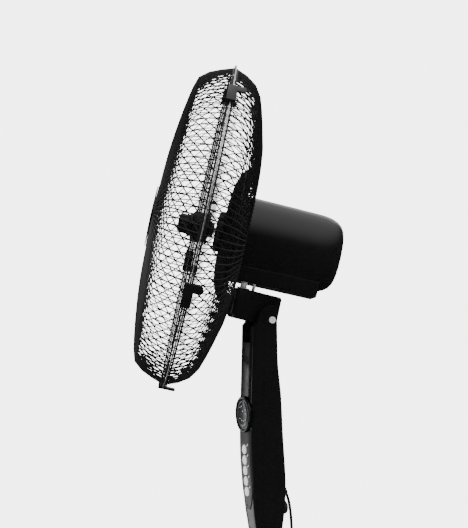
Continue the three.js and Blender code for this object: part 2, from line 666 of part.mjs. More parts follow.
function wireRing(radius, depth, thickness) {
  const section = tubeProfile(radius - thickness, radius + thickness, depth - thickness, depth + thickness);
  return turned(section, 32);
}

function frontGuard() {
  const [hoopRadius, hoopDepth] = FRONT_PROFILE[5];
  const parts = [wireRing(RIM_RADIUS, -2.6, RIM_WIRE), wireRing(hoopRadius, hoopDepth, WIRE)];
  parts.push(turned([[0, -65.5], [BADGE_RADIUS, -64.5], [BADGE_RADIUS, -61.5], [0, -61.5]], 28));
  for (let i = 0; i < WIRE_COUNT; i += 1) {
    parts.push(guardWire(FRONT_PROFILE, FRONT_TWIST, (2 * Math.PI * i) / WIRE_COUNT, 5));
  }
  return union(parts);
}

function guardBadge() {
  return turned([[0, -70], [BADGE_RADIUS * 0.5, -69.4], [BADGE_RADIUS - 3, -67.6], [BADGE_RADIUS, -66],
    [BADGE_RADIUS, -65.5 - GAP], [0, -65.5 - GAP]], 28);
}

function rearGuard() {
  const parts = [wireRing(RIM_RADIUS, 2.6, RIM_WIRE), wireRing(REAR_PROFILE[4][0], REAR_PROFILE[4][1], WIRE)];
  parts.push(turned(tubeProfile(BOSS_RADIUS + GAP, PLATE_RADIUS, PLATE_DEPTH - 1.5, PLATE_DEPTH + 1.5), 28));
  for (let i = 0; i < WIRE_COUNT; i += 1) {
    parts.push(guardWire(REAR_PROFILE, REAR_TWIST, (2 * Math.PI * (i + 0.5)) / WIRE_COUNT, 8));
  }
  return union(parts);
}

function guardRing() {
  return turned(tubeProfile(RING_INNER, RING_RADIUS, -RING_THICKNESS / 2, RING_THICKNESS / 2), 44);
}

function guardNut() {
  const back = PLATE_DEPTH - 1.5 - GAP;
  const nut = turned([[BOSS_RADIUS + GAP, back - 10], [GUARD_NUT_RADIUS - 4, back - 10],
    [GUARD_NUT_RADIUS, back - 7], [GUARD_NUT_RADIUS, back], [BOSS_RADIUS + GAP, back]], 24);
  const flutes = [];
  for (let i = 0; i < 6; i += 1) {
    const angle = (i * Math.PI) / 3;
    const x = (GUARD_NUT_RADIUS + 3) * Math.cos(angle);
    const z = (GUARD_NUT_RADIUS + 3) * Math.sin(angle);
    flutes.push(alongY(circle(x, z, 6), back - 20, back + 5, 6));
  }
  return nut.subtract(union(flutes));
}

// A latch clip in its own frame: X along the rim, Y rearwards, Z outwards from the axis.
function latchClip() {
  const seat = RING_RADIUS + GAP;
  const half = CLIP_LENGTH / 2;
  const hook = RIM_RADIUS + RIM_WIRE + 2 * GAP;
  const section = new THREE.Shape(points2([
    [-6.2, hook], [-RIM_WIRE * 3 - 0.5, hook], [-RIM_WIRE * 3 - 0.5, seat],
    [6, seat], [6, seat + 3], [-6.2, seat + 3]]));
  const body = alongX(section, -half, half, 4);
  const lug = alongZ(roundedRectangle(-half, 4, 11 - half, 17, 4), seat, seat + 3, 4);
  const bent = block([-half - 1, half + 1], [0, 20], [seat - 8, seat + 9]);
  const hollow = clampedRim(RING_RADIUS + GAP);
  return body.add(lug.intersect(bent)).subtract(hollow);
}

// The round space that the ring and its rims fill, rearwards of the clip's front hook.
function clampedRim(radius) {
  return turned(rodProfile(radius, -RIM_WIRE * 3 - 0.5, 30), 44);
}

// ---- Blade and spinner --------------------------------------------------------------
// One wing: radius runs along u, chord along v. It leans forwards across the chord.
function wing() {
  const geometry = new THREE.BoxGeometry(1, 1, 1, 6, 4, 1);
  const position = geometry.attributes.position;
  for (let i = 0; i < position.count; i += 1) {
    const u = position.getX(i) + 0.5;
    const v = position.getY(i);
    const radius = THREE.MathUtils.lerp(HUB_RADIUS - 4, BLADE_RADIUS, u) - 26 * v * v * u * u;
    const spread = THREE.MathUtils.degToRad(34 + 22 * Math.sin(Math.PI * Math.min(u * 1.15, 1) * 0.75));
    const sweep = THREE.MathUtils.degToRad(18) * u;
    const angle = sweep + v * spread;
    const lean = 26 - 4 * u;
    const camber = 5 * (0.25 - v * v) * u;
    const depth = 3 - v * lean - camber + position.getZ(i) * BLADE_THICKNESS;
    position.setXYZ(i, radius * Math.cos(angle), depth, radius * Math.sin(angle));
  }
  return solid(geometry);
}

function blade() {
  const hub = turned([
    [SHAFT_RADIUS + GAP, HUB_FRONT], [HUB_RADIUS - 3, HUB_FRONT], [HUB_RADIUS, HUB_FRONT + 3],
    [HUB_RADIUS, HUB_BACK - 8], [HUB_RADIUS - 8, HUB_BACK - 6], [HUB_RADIUS - 10, HUB_BACK],
    [SHAFT_RADIUS + GAP, HUB_BACK],
  ], 24);
  const parts = [hub];
  const bore = turned(rodProfile(SHAFT_RADIUS + GAP, -40, 60), 24);
  for (let i = 0; i < BLADE_COUNT; i += 1) {
    parts.push(wing().rotate([0, (360 * i) / BLADE_COUNT, 0]));
  }
  return union(parts).subtract(bore);
}

function spinnerNut() {
  const back = HUB_FRONT - GAP;
  const bore = SHAFT_RADIUS + GAP;
  return turned([[bore, back], [16, back], [16, back - 3], [13.5, back - 5], [13, back - 15],
    [10, back - 18.5], [0, back - 19], [0, SHAFT_FRONT - GAP], [bore, SHAFT_FRONT - GAP]], 20);
}

// ---- Cord ---------------------------------------------------------------------------
// Route of the cord from the gland to its coil on the floor behind the base.
const ROUTE = [
  [0, 32, 543.6], [0, 35.2, 533], [0, 37.6, 519], [0.5, 38.8, 502], [1.5, 39.4, 466], [3, 40, 420],
  [5, 41, 360],
  [7, 42, 300], [8, 44, 240], [8.5, 48, 186], [8, 56, 138], [6, 70, 98], [3, 90, 66], [1, 114, 45.5],
  [0, 140, 34.5], [-1, 164, 27], [-2, 184, 21], [-3.4, 200, 13], [-4, 213, 5.6], [-4, 224, 2.7],
  [-4, 237, 2.5],
];

function routeVectors() {
  return ROUTE.map(([x, y, z]) => new THREE.Vector3(x, y, z));
}

function cordRun() {
  return swept(new THREE.CatmullRomCurve3(routeVectors(), false, 'centripetal'), CORD_RADIUS, 8, 56);
}

function cordCoil() {
  const outer = COIL_MEAN_RADIUS + (COIL_BOTTOM_TURNS * CORD_RADIUS * 2.1) / 2 + 0.6;
  const inner = 2 * COIL_MEAN_RADIUS - outer;
  const height = 4.2 * CORD_RADIUS;
  const ring = aboutZ([[inner, 0.4], [outer, 0.4], [outer, height * 0.55], [outer - 2, height + 0.2],
    [inner + 2, height + 0.2], [inner, height * 0.55]], 28);
  return ring.translate([COIL_CENTRE[0], COIL_CENTRE[1], 0]);
}

// The tail runs from the coil round a half turn on the floor into the plug.
const TAIL = [
  [52.5, 234.5, 5.4], [52.6, 229, 4], [54.8, 221, 2.8], [60, 214.5, 2.5], [69.6, 212, 2.5],
  [79.2, 214.5, 2.5], [85, 221, 2.8], [86.6, 229, 4.4], [86.6, 238.5, 6.8],
];

function cordTail() {
  const points = TAIL.map(([x, y, z]) => new THREE.Vector3(x, y, z));
  const curve = new THREE.CatmullRomCurve3(points, false, 'centripetal');
  return swept(curve, CORD_RADIUS, 8, 12);
}

function plugBody() {
  const half = PLUG_LENGTH / 2;
  const body = alongZ(roundedRectangle(-9, -half, 9, half, 5), 0.4, 16.4, 5);
  return body.translate([PLUG_CENTRE[0], PLUG_CENTRE[1], 0]);
}

function plugPin(side) {
  const root = PLUG_LENGTH / 2 + GAP;
  const pin = turned([[0, root], [2.4, root], [2.4, root + 17], [1.4, root + 19], [0, root + 19]], 14);
  return pin.translate([PLUG_CENTRE[0] + (side * PIN_SPREAD) / 2, PLUG_CENTRE[1], 8.4]);
}

// ---- Assembly -----------------------------------------------------------------------
const fan = new THREE.Group();

const stand = new THREE.Group();
fan.add(stand);
stand.add(piece('base_pan', basePan(), IRON));
stand.add(piece('base_cover', baseCover(), GLOSS_BLACK));
stand.add(piece('foot_centre', foot(0, 0), RUBBER_BLACK));
for (let i = 0; i < FOOT_COUNT; i += 1) {
  const angle = (2 * Math.PI * i) / FOOT_COUNT + Math.PI / 2;
  const reach = BASE_RADIUS - 26;
  const pad = foot(reach * Math.cos(angle), reach * Math.sin(angle));
  stand.add(piece(`foot_${i + 1}`, pad, RUBBER_BLACK));
}
stand.add(piece('pole_socket', poleSocket(), GLOSS_BLACK));
const outerPole = tubeProfile(OUTER_POLE_RADIUS - POLE_WALL, OUTER_POLE_RADIUS, poleBottom, OUTER_POLE_TOP);
stand.add(piece('outer_pole', aboutZ(outerPole, 28), SATIN_BLACK));
stand.add(piece('height_lock_nut', heightLockNut(), GLOSS_BLACK));
const innerPole = tubeProfile(INNER_POLE_RADIUS - POLE_WALL, INNER_POLE_RADIUS,
  OUTER_POLE_TOP - INNER_POLE_REACH, INNER_POLE_TOP);
stand.add(piece('inner_pole', aboutZ(innerPole, 24), BRIGHT_STEEL));

const column = new THREE.Group();
column.position.set(0, 0, BOLT_HEIGHT);
fan.add(column);
const shells = columnBody();
column.add(piece('column_front', columnFront(shells), GLOSS_BLACK));
column.add(piece('column_rear', columnRear(shells), GLOSS_BLACK));
column.add(piece('panel_insert', panelInsert(), PANEL_GREY));
column.add(piece('display_bezel', displayBezel(), GLOSS_BLACK));
column.add(piece('display_lens', displayLens(), LENS_GREY));
column.add(piece('control_board', controlBoard(), BOARD_GREEN));
for (let i = 0; i < BUTTON_COUNT; i += 1) {
  column.add(piece(`button_${i + 1}`, button(i), SILVER));
}
column.add(piece('clamp_knob', clampKnob(), SATIN_BLACK));
SCREW_DROPS.forEach((drop, i) => column.add(piece(`shell_screw_${i + 1}`, shellScrew(drop), BRIGHT_STEEL)));
column.add(piece('cord_gland', glandSolid(0), RUBBER_BLACK));
column.add(piece('pivot_bolt', pivotBolt(), BRIGHT_STEEL));
column.add(piece('pivot_nut', pivotNut(), BRIGHT_STEEL));

const tilt = new THREE.Group();
tilt.rotation.x = -TILT_AT_REST;
column.add(tilt);
tilt.add(piece('tilt_box', tiltBox(), GLOSS_BLACK));
tilt.add(piece('swivel_post', swivelPost(), IRON));
tilt.add(piece('link_pin', linkPin(), BRIGHT_STEEL));
const link = new THREE.Group();
link.position.set(0, PIN_REACH - SWIVEL_REACH, 0);
link.rotation.z = SWING_AT_REST;
link.add(piece('crank_link', crankLink(), BRIGHT_STEEL));
tilt.add(link);

const swing = new THREE.Group();
swing.position.set(0, -SWIVEL_REACH, AXIS_HEIGHT);
swing.rotation.z = SWING_AT_REST;
tilt.add(swing);
const head = new THREE.Group();
head.position.set(0, -SWIVEL_DEPTH, 0);
swing.add(head);
head.add(piece('motor_tray', motorTray(), GLOSS_BLACK));
head.add(piece('motor_housing', motorHousing(), GLOSS_BLACK));
head.add(piece('motor_front_cover', motorFrontCover(), SATIN_BLACK));
head.add(piece('stator', stator(), IRON));
head.add(piece('gearbox', gearbox(), SATIN_BLACK));
head.add(piece('crank_disc', crankDisc().translate([0, CRANK_DEPTH, 0]), BRIGHT_STEEL));
head.add(piece('rear_guard', rearGuard(), SATIN_BLACK));
head.add(piece('guard_ring', guardRing(), SILVER));
head.add(piece('front_guard', frontGuard(), SATIN_BLACK));
head.add(piece('guard_badge', guardBadge(), SATIN_BLACK));
head.add(piece('guard_nut', guardNut(), SATIN_BLACK));
for (let i = 0; i < CLIP_COUNT; i += 1) {
  const mount = new THREE.Group();
  mount.rotation.y = THREE.MathUtils.degToRad(CLIP_FIRST + (360 * i) / CLIP_COUNT);
  mount.add(piece(`clip_${i + 1}`, latchClip(), SATIN_BLACK));
  head.add(mount);
}
head.add(piece('rotor_shaft', rotorShaft(), BRIGHT_STEEL));
head.add(piece('blade', blade(), SMOKE));
head.add(piece('spinner_nut', spinnerNut(), SATIN_BLACK));

fan.add(piece('cord_run', cordRun(), RUBBER_BLACK));
fan.add(piece('cord_coil', cordCoil(), RUBBER_BLACK));
fan.add(piece('cord_tail', cordTail(), RUBBER_BLACK));
fan.add(piece('plug_body', plugBody(), RUBBER_BLACK));
fan.add(piece('plug_pin_1', plugPin(-1), BRIGHT_STEEL));
fan.add(piece('plug_pin_2', plugPin(1), BRIGHT_STEEL));

export default fan;
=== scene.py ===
# %% [markdown]
# # Finishing a pedestal fan over its solid model
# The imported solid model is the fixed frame: it says where each piece is and how it moves.
# Blender adds what the eye wants: fine guard wires, true curves, soft edges and real materials.

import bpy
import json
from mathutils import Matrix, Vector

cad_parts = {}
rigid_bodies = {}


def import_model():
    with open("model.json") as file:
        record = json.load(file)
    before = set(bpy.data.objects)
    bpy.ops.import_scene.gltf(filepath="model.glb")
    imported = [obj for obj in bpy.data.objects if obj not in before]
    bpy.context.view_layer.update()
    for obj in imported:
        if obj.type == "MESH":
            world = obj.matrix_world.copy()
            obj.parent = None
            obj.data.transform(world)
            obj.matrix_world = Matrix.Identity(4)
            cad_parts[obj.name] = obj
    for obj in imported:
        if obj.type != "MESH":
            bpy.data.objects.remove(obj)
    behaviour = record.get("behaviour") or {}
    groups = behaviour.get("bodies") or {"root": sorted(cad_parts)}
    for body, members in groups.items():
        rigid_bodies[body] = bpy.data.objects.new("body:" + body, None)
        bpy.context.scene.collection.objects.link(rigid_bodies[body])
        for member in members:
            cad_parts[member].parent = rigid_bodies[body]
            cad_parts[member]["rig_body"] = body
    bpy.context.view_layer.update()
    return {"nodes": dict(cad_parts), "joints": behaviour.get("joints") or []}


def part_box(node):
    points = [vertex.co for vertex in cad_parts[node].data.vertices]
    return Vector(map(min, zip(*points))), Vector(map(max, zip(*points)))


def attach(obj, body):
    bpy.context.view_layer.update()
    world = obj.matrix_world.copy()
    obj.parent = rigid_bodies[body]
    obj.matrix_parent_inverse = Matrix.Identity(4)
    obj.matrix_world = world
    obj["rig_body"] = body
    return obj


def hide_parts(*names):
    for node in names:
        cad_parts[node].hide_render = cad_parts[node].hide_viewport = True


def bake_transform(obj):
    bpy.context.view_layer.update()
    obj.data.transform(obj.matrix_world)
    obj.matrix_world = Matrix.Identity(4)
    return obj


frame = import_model()

# %% Libraries and the millimetre
import json
import math

import bmesh
import bpy
from mathutils import Matrix, Vector

MM = 0.001
TAU = 2 * math.pi

# %% [markdown]
# ## Frames of the moving groups
# The fan's head is nodded and turned, so its own axes are slanted. The joints give them: the
# blade spins about the head's axis and the head swings about its post. Pieces are then drawn
# straight, in millimetres, and one matrix puts each of them in its place.

# %% Matrices from the joints
joints = {joint["name"]: joint for joint in frame["joints"]}
forward = Vector(joints["blade_spin"]["axis"]).normalized()
post = Vector(joints["swing_hinge"]["axis"]).normalized()
bolt_place = Vector(joints["tilt_hinge"]["pos_m"])
ring_centre = Vector(joints["blade_spin"]["pos_m"])


def axes(x_axis, y_axis, z_axis, origin):
    """Matrix that takes millimetres in these axes to metres in the fan's own frame."""
    turn = Matrix((x_axis, y_axis, z_axis)).transposed().to_4x4()
    return Matrix.Translation(origin) @ turn @ Matrix.Scale(MM, 4)


STAND = Matrix.Scale(MM, 4)
COLUMN = Matrix.Translation(bolt_place) @ STAND
HEAD = axes((-forward).cross(post), -forward, post, ring_centre)
print("head axis", [round(v, 3) for v in forward], "ring centre", [round(v, 3) for v in ring_centre])

# %% [markdown]
# ## Camera
# A long lens from the fan's left side, a little in front of it and level with the hub. The
# lens is long because the real view is flat: near and far rim look almost the same size.

# %% Place the camera
VIEW_ANGLE = math.radians(68.9)  # round from straight ahead, towards the fan's left
VIEW_RISE = math.radians(-1.2)
VIEW_DISTANCE = 1.8
AIM_TURN = math.radians(-1.5)
AIM_DROP = math.radians(0.4)
LENS = 102.4


def level_direction(angle, rise):
    """Unit vector at an angle round from straight ahead and a rise above level."""
    return Vector((math.sin(angle) * math.cos(rise), -math.cos(angle) * math.cos(rise), math.sin(rise)))


lens_data = bpy.data.cameras.new("camera")
lens_data.lens = LENS
lens_data.sensor_fit = "HORIZONTAL"
lens_data.clip_end = 50
camera = bpy.data.objects.new("camera", lens_data)
bpy.context.scene.collection.objects.link(camera)
camera.location = ring_centre + VIEW_DISTANCE * level_direction(VIEW_ANGLE, VIEW_RISE)
aim = -level_direction(VIEW_ANGLE + AIM_TURN, AIM_DROP)
camera.rotation_euler = aim.to_track_quat("-Z", "Y").to_euler()
bpy.context.scene.camera = camera
print("camera at", [round(v, 3) for v in camera.location])

# %% [markdown]
# ## Making shapes
# Nearly everything here is turned, drawn or cut, as it is in a factory. A bmesh holds each
# shape while operators work on it, and one function turns it into a finished object.


# %% Helpers: finish a piece
def finished(name, shape, matrix, material, body, *nodes, slot=None, sharp=32):
    """Puts a bmesh in its place, shades it, and lets it ride on a body for these CAD nodes."""
    bmesh.ops.remove_doubles(shape, verts=shape.verts, dist=1e-4)
    bmesh.ops.recalc_face_normals(shape, faces=shape.faces)
    shape.transform(matrix)
    mesh = bpy.data.meshes.new(name)
    shape.to_mesh(mesh)
    shape.free()
    mesh.shade_smooth()
    mesh.set_sharp_from_angle(angle=math.radians(sharp))
    mesh.materials.append(material)
    piece = bpy.data.objects.new(name, mesh)
    bpy.context.scene.collection.objects.link(piece)
    if body:
        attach(piece, body)
    if nodes:
        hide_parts(*nodes)
    print(name, len(mesh.polygons), "faces")
    return piece


def turned(profile, steps=96, closed=False):
    """Spins a profile of (radius, height) about Z. A closed profile is a ring's section."""
    shape = bmesh.new()
    verts = [shape.verts.new((radius, 0, height)) for radius, height in profile]
    pairs = list(zip(verts, verts[1:]))
    if closed:
        pairs.append((verts[-1], verts[0]))
    edges = [shape.edges.new(pair) for pair in pairs]
    bmesh.ops.spin(shape, geom=verts + edges, axis=(0, 0, 1), angle=TAU, steps=steps, use_merge=True)
    bmesh.ops.remove_doubles(shape, verts=shape.verts, dist=1e-4)
    bmesh.ops.recalc_face_normals(shape, faces=shape.faces)
    return shape


def softened(shape, width, angle=30, segments=2):
    """Bevels every edge that is sharper than an angle, as moulds and tumbling leave edges."""
    limit = math.radians(angle)
    edges = [edge for edge in shape.edges if edge.is_manifold and edge.calc_face_angle(0) > limit]
    bmesh.ops.bevel(shape, geom=edges, offset=width, offset_type="OFFSET", segments=segments, profile=0.5,
                    affect="EDGES", clamp_overlap=True, material=-1)
    return shape


def fluted(shape, lobes, depth, inner, outer=math.inf, power=1, ramp=None):
    """Draws a turned wall in by a share of its radius, in lobes, where it lies past an inner radius."""
    for vert in shape.verts:
        radius = math.hypot(vert.co.x, vert.co.y)
        if inner < radius < outer:
            valley = max(0, math.cos(lobes * math.atan2(vert.co.y, vert.co.x))) ** power
            keep = 1 - depth * valley * (min(1, (radius - inner) / ramp) if ramp else 1)
            vert.co.x *= keep
            vert.co.y *= keep
    return shape


ALONG_Y = Matrix.Rotation(math.radians(90), 4, "X")  # takes height to -Y, the front
BACK_Y = Matrix.Rotation(math.radians(-90), 4, "X")  # takes height to +Y, the back


# %% Helpers: smooth curves and tubes
def through(points, per_span=8):
    """Points on a centripetal Catmull-Rom curve through the given points."""
    points = [Vector(point) for point in points]
    ends = [2 * points[0] - points[1], *points, 2 * points[-1] - points[-2]]
    curve = []
    for a, b, c, d in zip(ends, ends[1:], ends[2:], ends[3:]):
        t1 = (b - a).length ** 0.5
        t2 = t1 + (c - b).length ** 0.5
        t3 = t2 + (d - c).length ** 0.5
        for i in range(per_span):
            t = t1 + (t2 - t1) * i / per_span
            ab = a.lerp(b, t / t1)
            bc = b.lerp(c, (t - t1) / (t2 - t1))
            cd = c.lerp(d, (t - t2) / (t3 - t2))
            curve.append(ab.lerp(bc, t / t2).lerp(bc.lerp(cd, (t - t1) / (t3 - t1)), (t - t1) / (t2 - t1)))
    return [*curve, points[-1]]


def tube(points, radius, rounding=2, closed=False):
    """A round tube along points: rounding 0 has four sides, and each step adds two."""
    curve = bpy.data.curves.new("tube", "CURVE")
    curve.dimensions = "3D"
    curve.bevel_depth = radius
    curve.bevel_resolution = rounding
    curve.use_fill_caps = not closed
    spline = curve.splines.new("POLY")
    spline.points.add(len(points) - 1)
    for spot, point in zip(spline.points, points):
        spot.co = (*point, 1)
    spline.use_cyclic_u = closed
    holder = bpy.data.objects.new("tube", curve)
    shape = bmesh.new()
    mesh = bpy.data.meshes.new_from_object(holder)
    shape.from_mesh(mesh)
    bmesh.ops.remove_doubles(shape, verts=shape.verts, dist=1e-5)
    bpy.data.objects.remove(holder)
    bpy.data.curves.remove(curve)
    bpy.data.meshes.remove(mesh)
    return shape


def length_of(points):
    return sum((b - a).length for a, b in zip(points, points[1:]))


# %% [markdown]
# ## Materials
# Each material starts from what the real one is made of and how its surface came about. One
# function turns hex colours to linear light, and one adds a node with its settings and links.


# %% Helpers: colours and nodes
def linear(hex_colour):
    """An sRGB hex colour as linear RGBA."""
    parts = [int(hex_colour[i:i + 2], 16) / 255 for i in (1, 3, 5)]
    return (*[p / 12.92 if p <= 0.04045 else ((p + 0.055) / 1.055) ** 2.4 for p in parts], 1)


def add(material, kind, inputs=None, **settings):
    """Adds a node: inputs are numbers or other nodes' outputs, settings are its own fields."""
    made = material.node_tree.nodes.new(kind)
    for field, value in settings.items():
        setattr(made, field, value)
    for socket, value in (inputs or {}).items():
        if isinstance(value, bpy.types.NodeSocket):
            material.node_tree.links.new(value, made.inputs[socket])
        else:
            made.inputs[socket].default_value = value
    return made


def new_material(name):
    """An empty node material and its principled shader, joined to the output."""
    material = bpy.data.materials.new(name)
    material.use_nodes = True
    return material, material.node_tree.nodes["Principled BSDF"]


def per_metre(millimetres):
    """Pattern scale whose features are this many millimetres apart, in Object coordinates."""
    return 1 / (millimetres * MM)


def surface(name, dark, light, rough, grain_mm, bump_mm, streak=(1, 1, 1), detail=3, **shader):
    """Moulded, coated or rolled stock: a colour that drifts, a changing gloss and a fine relief.

    dark and light are the ends of the colour, rough is the pair of roughness limits, grain_mm
    the size of the relief and bump_mm its height. streak stretches the grain along an axis.
    """
    material, principled = new_material(name)
    place = add(material, "ShaderNodeTexCoord").outputs["Object"]
    drawn = add(material, "ShaderNodeMapping", {"Vector": place, "Scale": streak}).outputs["Vector"]
    drift = add(material, "ShaderNodeTexNoise", {
        "Vector": place, "Scale": per_metre(60), "Detail": 2}).outputs["Fac"]
    grain = add(material, "ShaderNodeTexNoise", {
        "Vector": drawn, "Scale": per_metre(grain_mm), "Detail": detail}).outputs["Fac"]
    tint = add(material, "ShaderNodeMix", {
        "Factor": drift, 6: linear(dark), 7: linear(light)}, data_type="RGBA").outputs[2]
    gloss = add(material, "ShaderNodeMapRange", {
        "Value": grain, "From Min": 0.3, "From Max": 0.7,
        "To Min": rough[0], "To Max": rough[1]}).outputs["Result"]
    relief = add(material, "ShaderNodeBump", {
        "Height": grain, "Distance": bump_mm * MM, "Strength": 1.0}).outputs["Normal"]
    links = material.node_tree.links
    links.new(tint, principled.inputs["Base Color"])
    links.new(gloss, principled.inputs["Roughness"])
    links.new(relief, principled.inputs["Normal"])
    for socket, value in shader.items():
        principled.inputs[socket.replace("_", " ")].default_value = value
    return material


# %% [markdown]
# ### Plastics
# The shells are gloss ABS from a polished mould: near black, sharp highlights, and a faint
# wavy skin as the plastic shrinks. Mechanism parts come from a spark-eroded mould, so they
# are satin. The panel is a painted insert, the display a smoke acrylic lens.

# %% Plastics
gloss_abs = surface("moulded_gloss_ABS", "#0a0a0b", "#101011", (0.16, 0.24), 9, 0.012, IOR=1.53)
satin_abs = surface("spark_eroded_ABS", "#111112", "#181819", (0.38, 0.52), 0.7, 0.03, IOR=1.53)
panel_paint = surface("panel_paint", "#1c1c1e", "#232325", (0.3, 0.4), 0.6, 0.01, IOR=1.5)
display_acrylic = surface("smoke_acrylic", "#202123", "#28292b", (0.08, 0.12), 14, 0.004, IOR=1.49)
button_lacquer = surface("silver_lacquered_ABS", "#e6e7e9", "#f4f4f5", (0.22, 0.32), 0.5, 0.004,
                         IOR=1.5, Metallic=0.15)
foot_rubber = surface("moulded_rubber", "#161616", "#202020", (0.7, 0.9), 0.9, 0.05, IOR=1.52)
cord_pvc = surface("extruded_PVC", "#0c0c0d", "#141415", (0.34, 0.48), 1.2, 0.02, IOR=1.54)
board_laminate = surface("green_board_laminate", "#123d24", "#2a6b42", (0.3, 0.5), 2.2, 0.03,
                         streak=(1, 1, 6), IOR=1.5)
# A plain light grey-white, used only for the slanted strokes beside the buttons.
stroke_white = surface("white_strokes", "#c9cacc", "#e2e3e4", (0.4, 0.5), 0.3, 0.002, IOR=1.5)

# %% [markdown]
# ### Metals and coated metals
# Guard wire is powder coated, tubes are stoved enamel or chrome, the ring is bright rolled
# band. Metals keep the shader's own IOR. Rolling and drawing leave streaks along the stock.

# %% Metals
wire_coating = surface("powder_coated_wire", "#0b0b0c", "#121213", (0.45, 0.6), 0.8, 0.02, IOR=1.5)
pole_enamel = surface("stoved_enamel", "#0b0b0c", "#121213", (0.12, 0.2), 5, 0.008, IOR=1.5)
pole_chrome = surface("drawn_chromed_tube", "#c8cacd", "#dcdee0", (0.1, 0.2), 0.8, 0.003,
                      streak=(6, 6, 0.2), Metallic=1.0)
band_silver = surface("rolled_bright_band", "#c9cbce", "#e4e5e7", (0.2, 0.34), 0.8, 0.006, Metallic=1.0)
bright_steel = surface("zinc_plated_steel", "#dcdddf", "#f2f2f3", (0.35, 0.5), 1.5, 0.01, Metallic=0.3)
pan_steel = surface("pressed_black_steel", "#18181a", "#26272a", (0.4, 0.6), 3, 0.03, Metallic=0.6)
stator_iron = surface("laminated_iron", "#3c3e41", "#63666a", (0.4, 0.6), 0.6, 0.05,
                      streak=(0.1, 0.1, 8), Metallic=1.0)

# %% [markdown]
# ### Smoked styrene
# The blade is clear styrene with a little black in it. Thin wings let most light through, so a
# plain see-through share does it, without bending the light: bent light would take long to
# settle behind hundreds of wires.

# %% Smoked styrene
smoked_styrene = surface("smoked_styrene", "#1a1a1b", "#242425", (0.08, 0.14), 12, 0.01,
                         IOR=1.55, Alpha=0.24)

# %% [markdown]
# ### Indicator lights
# Small clear windows in the display with a lamp behind each. They glow faintly even in a lit room.

# %% Indicator lights
lamp_window, lamp_shader = new_material("indicator_window")
lamp_place = add(lamp_window, "ShaderNodeTexCoord").outputs["Object"]
lamp_grain = add(lamp_window, "ShaderNodeTexNoise", {
    "Vector": lamp_place, "Scale": per_metre(0.6)}).outputs["Fac"]
lamp_tint = add(lamp_window, "ShaderNodeMix", {
    "Factor": lamp_grain, 6: linear("#b9bcc0"), 7: linear("#d8dadc")}, data_type="RGBA").outputs[2]
for lamp_socket in ("Base Color", "Emission Color"):
    lamp_window.node_tree.links.new(lamp_tint, lamp_shader.inputs[lamp_socket])
lamp_shader.inputs["Emission Strength"].default_value = 0.25
lamp_shader.inputs["Roughness"].default_value = 0.3

# %% [markdown]
# ## Mains cord
# A slim round lead leaves the column through a tapered gland, hangs behind the pole, lies over
# the base and ends in a neat coil on the floor, with its plug. Its centre line repeats the
# route of the solid model, so the tube lies where the solids lie.

# %% Route of the cord
CORD_DIAMETER = 4.2
ROUTE = [
    (0, 31.8, 544), (0, 35.2, 533), (0, 37.6, 519), (0.5, 38.8, 502), (1.5, 39.4, 466), (3, 40, 420),
    (5, 41, 360), (7, 42, 300), (8, 44, 240), (8.5, 48, 186), (8, 56, 138), (6, 70, 98), (3, 90, 66), (1, 114, 45.5),
    (0, 140, 34.5), (-1, 164, 27), (-2, 184, 21), (-3.4, 200, 13), (-4.2, 213, 5.6), (-4.7, 224, 2.7),
    (-4.9, 240, 2.4),
]
COIL_CENTRE = Vector((25.3, 256, 0))
COIL_OUTER = 30.6
COIL_INNER = 17.2
COIL_TOP = 27.2
TAIL = [(52.4, 234.5, 5.6), (52.8, 229, 4), (54.8, 221, 2.8), (60, 214.5, 2.4), (69.6, 212, 2.4),
        (79.2, 214.5, 2.4), (85, 221, 2.8), (86.6, 229, 4.4), (86.6, 239, 6.8)]
STEPS_PER_TURN = 24


def coil_points(first_turn, last_turn, radii, heights):
    """Points of a flat spiral from one count of turns to another, seen from above clockwise."""
    count = round((last_turn - first_turn) * STEPS_PER_TURN)
    points = []
    for i in range(count):
        share = i / count
        angle = math.pi - TAU * (first_turn + share * (last_turn - first_turn))
        radius = radii[0] + share * (radii[1] - radii[0])
        height = heights[0] + share ** 0.6 * (heights[1] - heights[0])
        points.append(COIL_CENTRE + Vector((radius * math.cos(angle), radius * math.sin(angle), height)))
    return points


LOW_LAYER = 2.4
HIGH_LAYER = 6.7
coil = [*coil_points(0, 3.5, (COIL_OUTER, COIL_INNER), (LOW_LAYER, LOW_LAYER)),
        *coil_points(3.5, 4, (COIL_INNER, COIL_INNER), (LOW_LAYER, HIGH_LAYER)),
        *coil_points(4, 6.5, (COIL_INNER, COIL_TOP), (HIGH_LAYER, HIGH_LAYER))]
cord_line = [*through(ROUTE, 6), *through(coil[1:], 2), *through([coil[-1], *TAIL], 6)[6:]]
cord_line = [Vector(point) for point in cord_line]

# %% [markdown]
# ### Plug
# The plug is a moulded grip with two pins. It is worked from the solid model's block: its long
# sides are pinched for the fingers and its edges are well rounded, as a moulded grip is.


# %% Helper: a softened copy of a CAD node
def refined(node, width, segments=2, angle=25):
    """A copy of a CAD node in millimetres, merged, with flat faces whole and edges bevelled."""
    shape = bmesh.new()
    shape.from_mesh(frame["nodes"][node].data)
    shape.transform(Matrix.Scale(1 / MM, 4))
    bmesh.ops.remove_doubles(shape, verts=shape.verts, dist=0.004)
    bmesh.ops.dissolve_limit(shape, angle_limit=math.radians(1), verts=shape.verts, edges=shape.edges)
    if width:
        softened(shape, width, angle, segments)
    return shape


